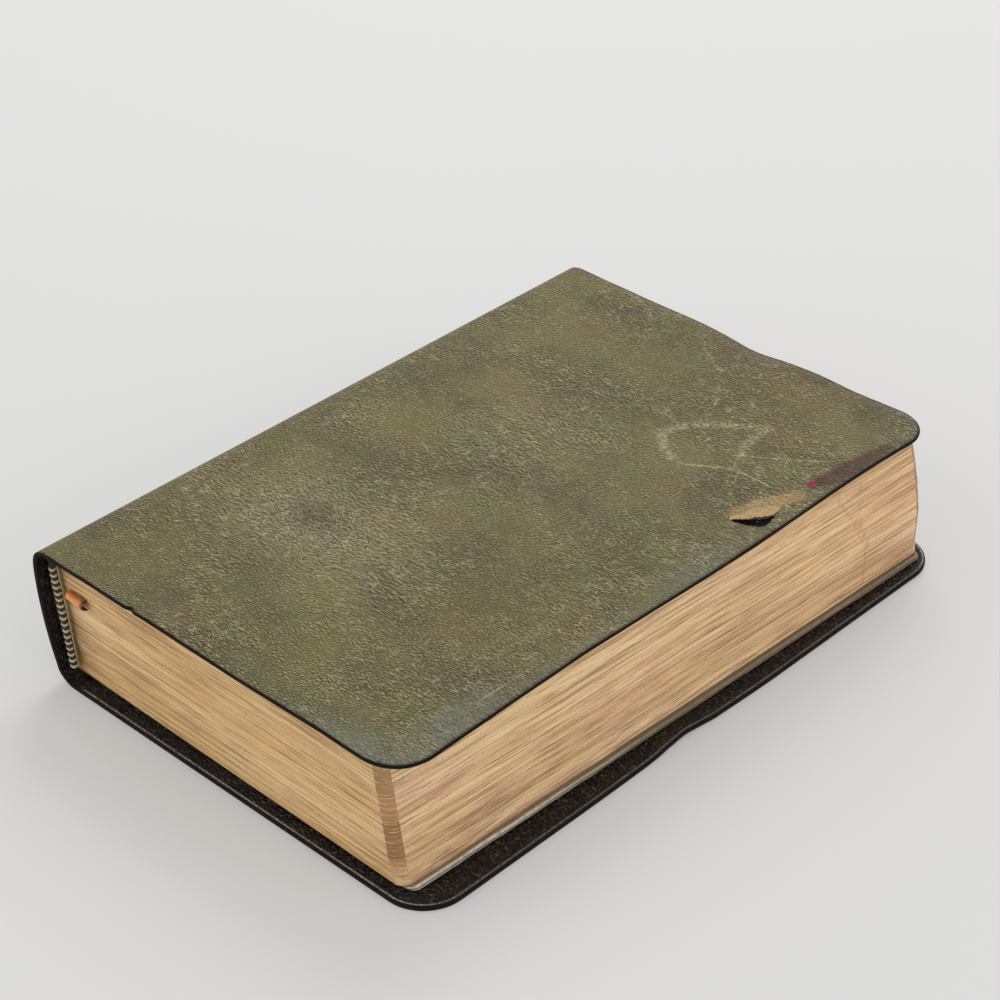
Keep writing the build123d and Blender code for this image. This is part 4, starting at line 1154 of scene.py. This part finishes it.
# ------------------------------------------------------------------ ribbon
def ribbon(name):
    """A short thin loop of ribbon, arched and open toward the fore edge."""
    k, m = 30, 22
    xs = np.linspace(5.9, 12.0, k)
    V = []
    th_r = 0.22
    for layer in (0, 1):
        for i, x in enumerate(xs):
            t = i / (k - 1)
            zc = 26.6 - 0.5 * t; hz = (1.20 + 0.28 * t) - layer * th_r
            dep = (1.75 + 0.25 * math.sin(3 * t)) - layer * th_r
            for j in range(m):
                a = math.pi * (-0.5 + j / (m - 1))
                y = 3.9 - dep * math.cos(a) ** 0.8 if math.cos(a) > 1e-6 else 3.9
                z = zc + hz * math.sin(a) + 0.08 * vn(x * 1.3, j * 0.4, 321)
                xx = x + (0.35 * vn(j * 0.6, 3.0, 323) if i == k - 1 else 0)
                V.append((xx, y, z))
    a = np.arange(k * m).reshape(k, m); b = a + k * m
    F = quads(a) + quads(b)
    rim = list(a[0, :]) + list(a[1:, -1]) + list(a[-1, -2::-1]) + list(a[-2:0:-1, 0])
    rib = list(b[0, :]) + list(b[1:, -1]) + list(b[-1, -2::-1]) + list(b[-2:0:-1, 0])
    for q in range(len(rim)):
        q2 = (q + 1) % len(rim)
        F.append((int(rim[q]), int(rim[q2]), int(rib[q2]), int(rib[q])))
    V = np.array(V)
    upz = np.tile(np.tile(np.linspace(0, 1, m), k), 2)
    inside = np.r_[np.zeros(k * m), np.ones(k * m)]
    n = Nodes("ribbon_faded")
    rc = n.attr("rc", True)
    w = n.noise(n.scale(rc, (1.2, 3.0, 7.0)), 1.0, 3, 0.6)
    c = n.mix(n.ramp(n.attr("up"), 0.66, 0.95), lin(222, 148, 78), lin(160, 76, 36))
    sep = n.add("SeparateXYZ"); n.put(sep.inputs[0], rc)
    c = n.mix(n.ramp(n.addm(sep.outputs[0], n.mul(w, 1.2)), 11.4, 12.5), c, lin(120, 40, 22))
    c = n.mix(n.mul(n.ramp(w, 0.45, 0.72), 0.5), c, lin(150, 92, 54))
    c = n.mix(n.attr("inside"), c, lin(70, 22, 14))
    mat = n.surface(c, 0.6, w, dist=0.0001, strength=0.8, spec=0.3, sheen=0.25)
    ob = build(name, V, F, mat, {"rc": V.copy(), "up": upz, "inside": inside})
    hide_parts("ribbon_marker"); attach(ob, "book_block")


ribbon("ribbon_loop")


# ------------------------------------------------------------------ materials of the other pieces
def board_material(name, col, dark, fib=1.0):
    n = Nodes(name)
    tc = n.add("TexCoord").outputs["Object"]
    p = n.scale(tc, (1000, 1000, 1000))
    f = n.noise(n.scale(p, (1.2, 3.0, 3.0)), 1.0 * fib, 4, 0.7)
    g = n.noise(p, 0.12, 3, 0.6)
    c = n.mix(n.ramp(f, 0.45, 0.75), col, dark)
    c = n.mix(n.mul(n.ramp(g, 0.45, 0.7), 0.4), c, dark)
    return n.surface(c, 0.85, f, dist=0.00006, strength=0.7, spec=0.25)


def gauze_material():
    n = Nodes("mull_gauze")
    tc = n.add("TexCoord").outputs["Object"]
    p = n.scale(tc, (1000, 1000, 1000))
    w1 = n.add("TexWave", wave_type="BANDS", bands_direction="Y"); n.put(w1.inputs["Vector"], p)
    w1.inputs["Scale"].default_value = 0.5; w1.inputs["Distortion"].default_value = 0.6
    w2 = n.add("TexWave", wave_type="BANDS", bands_direction="Z"); n.put(w2.inputs["Vector"], p)
    w2.inputs["Scale"].default_value = 0.5; w2.inputs["Distortion"].default_value = 0.6
    h = n.math("MAXIMUM", w1.outputs["Fac"], w2.outputs["Fac"])
    c = n.mix(n.ramp(h, 0.3, 0.9), lin(104, 84, 58), lin(196, 184, 156))
    return n.surface(c, 0.9, h, dist=0.0001, strength=0.8, spec=0.2)


BOARD = board_material("millboard", lin(122, 104, 80), lin(82, 68, 50))
INFILL = board_material("infill_paper", lin(176, 166, 142), lin(140, 124, 98), 0.8)
LINING = board_material("spine_lining_paper", lin(112, 74, 52), lin(70, 44, 32), 0.9)
MULL = gauze_material()


def dress(node, mat):
    ob = bpy.data.objects.get(node)
    if ob is None:
        for o in bpy.data.objects:
            if o.name.split(".")[0] == node:
                ob = o
    for o in [ob] + [c for c in ob.children if c.type == "MESH"]:
        if o.type == "MESH":
            o.data.materials.clear(); o.data.materials.append(mat)


card("back_card", g_up, T - 1.08, T - 0.74, 1.1, BOARD, "back_board", "back_cover")
card("front_card", g_lw, 0.74, 1.08, 1.1, BOARD, "front_board", "front_cover")
for node, mat in (("back_infill", INFILL), ("front_infill", INFILL),
                  ("spine_inlay", BOARD), ("spine_lining", LINING), ("spine_mull", MULL),
                  ("back_pastedown", PAPER_G), ("front_pastedown", PAPER_G)):
    dress(node, mat)


# ------------------------------------------------------------------ folded endpapers at the two joints
def hinge_paper(name, upper):
    """The fold of the endpaper between the first leaf and the pasted-down
    half: a thin U lying along the joint."""
    t = 0.10
    if upper:
        z0, z1, xf, xa, xb = Z_LEAF1 + 0.06, Z_UP_IN - 0.26, 0.6, 9.0, 12.0
    else:
        z0, z1, xf, xa, xb = Z_LEAF0 - 0.06, RIM + 0.26, 6.0, 14.0, 17.0
    zm = (z0 + z1) / 2; r = abs(z1 - z0) / 2
    sg = 1.0 if z1 > z0 else -1.0
    path = [(x, z0) for x in np.linspace(xa, xf + r, 10)]
    path += [(xf + r - r * math.sin(a), zm - sg * r * math.cos(a)) for a in np.linspace(0, math.pi, 8)[1:-1]]
    path += [(x, z1) for x in np.linspace(xf + r, xb, 12)]
    path = np.array(path)
    tn = np.gradient(path, axis=0); tn /= np.hypot(tn[:, 0], tn[:, 1])[:, None]
    nn = np.stack([-tn[:, 1], tn[:, 0]], 1)
    o = path + nn * t / 2; i_ = path - nn * t / 2
    loop = np.vstack([o, i_[::-1]])
    ys = np.linspace(10.0, 180.0, 60)
    P = np.array([[(p[0], y, p[1]) for p in loop] for y in ys])
    k = len(loop)
    idx = np.arange(len(ys) * k).reshape(len(ys), k); idx = np.hstack([idx, idx[:, :1]])
    F = quads(idx)
    F.append(tuple(int(v) for v in idx[0, :-1][::-1])); F.append(tuple(int(v) for v in idx[-1, :-1]))
    V = P.reshape(-1, 3)
    ob = build(name, V, F, PAPER_G, {"rc": V.copy()})
    if upper:
        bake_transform(ob)
    else:
        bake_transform(ob)


hinge_paper("back_endpaper_fold", True)
hinge_paper("front_endpaper_fold", False)


# ------------------------------------------------------------------ table, light, camera
def floor():
    me = bpy.data.meshes.new("table")
    s = 3.0
    me.from_pydata([(-s, -s, 0), (s, -s, 0), (s, s, 0), (-s, s, 0)], [], [(0, 1, 2, 3)])
    ob = bpy.data.objects.new("table", me)
    bpy.context.scene.collection.objects.link(ob)
    n = Nodes("table_paper")
    tc = n.add("TexCoord").outputs["Object"]
    f = n.noise(tc, 3.0, 3, 0.5)
    c = n.mix(n.ramp(f, 0.4, 0.6), (0.400, 0.400, 0.401), (0.405, 0.405, 0.406))
    me.materials.append(n.surface(c, 0.9, f, dist=0.00001, strength=0.1, spec=0.1))
    pb = [x for x in n.t.nodes if x.type == "BSDF_PRINCIPLED"][0]
    # faint glow of the floor: painted light that lifts the contact shadows
    pb.inputs["Emission Color"].default_value = (1.0, 0.995, 0.99, 1.0)
    pb.inputs["Emission Strength"].default_value = 0.20
    return ob


floor()
scene = bpy.context.scene
scene.view_settings.view_transform = "Standard"
scene.view_settings.look = "None"
scene.view_settings.exposure = 0.0
scene.view_settings.gamma = 1.0

wd = bpy.data.worlds.new("soft_studio")
scene.world = wd
wd.use_nodes = True
bg = wd.node_tree.nodes["Background"]
bg.inputs[0].default_value = (1.0, 0.995, 0.985, 1.0)
bg.inputs[1].default_value = 0.92


def area(name, loc, target, size, power, col=(1, 1, 1)):
    d = bpy.data.lights.new(name, "AREA")
    d.shape = "SQUARE"; d.size = size; d.energy = power; d.color = col
    o = bpy.data.objects.new(name, d)
    scene.collection.objects.link(o)
    o.location = loc
    v = Vector(target) - Vector(loc)
    o.rotation_euler = v.to_track_quat("-Z", "Y").to_euler()
    return o


area("key", (-0.45, 0.65, 0.80), (0, 0, 0.02), 0.6, 5.0)
area("front_left", (-0.60, -1.05, 0.50), (0, 0, 0.02), 1.2, 3.6)
area("front_right", (1.20, 0.15, 0.45), (0, 0, 0.02), 1.2, 5.2)

AZ, EL, ROLL, DIST = math.radians(44.778), math.radians(34.131), math.radians(-1.187), 0.72098
tgt = Vector(world((26.65, 131.11, 0.0)))
back = Vector((math.sin(AZ) * math.cos(EL), -math.cos(AZ) * math.cos(EL), math.sin(EL)))
right = (-back).cross(Vector((0, 0, 1))).normalized()
up = right.cross(-back).normalized()
ir = right * math.cos(ROLL) + up * math.sin(ROLL)
iu = right * -math.sin(ROLL) + up * math.cos(ROLL)
cd = bpy.data.cameras.new("camera")
cd.sensor_width = 36.0
cd.lens = 2656.7 / 1000 * 36.0
cam = bpy.data.objects.new("camera", cd)
scene.collection.objects.link(cam)
m = Matrix((ir, iu, back)).transposed().to_4x4()
m.translation = tgt + back * DIST
cam.matrix_world = m
cd.clip_start = 0.01; cd.clip_end = 20
scene.camera = cam
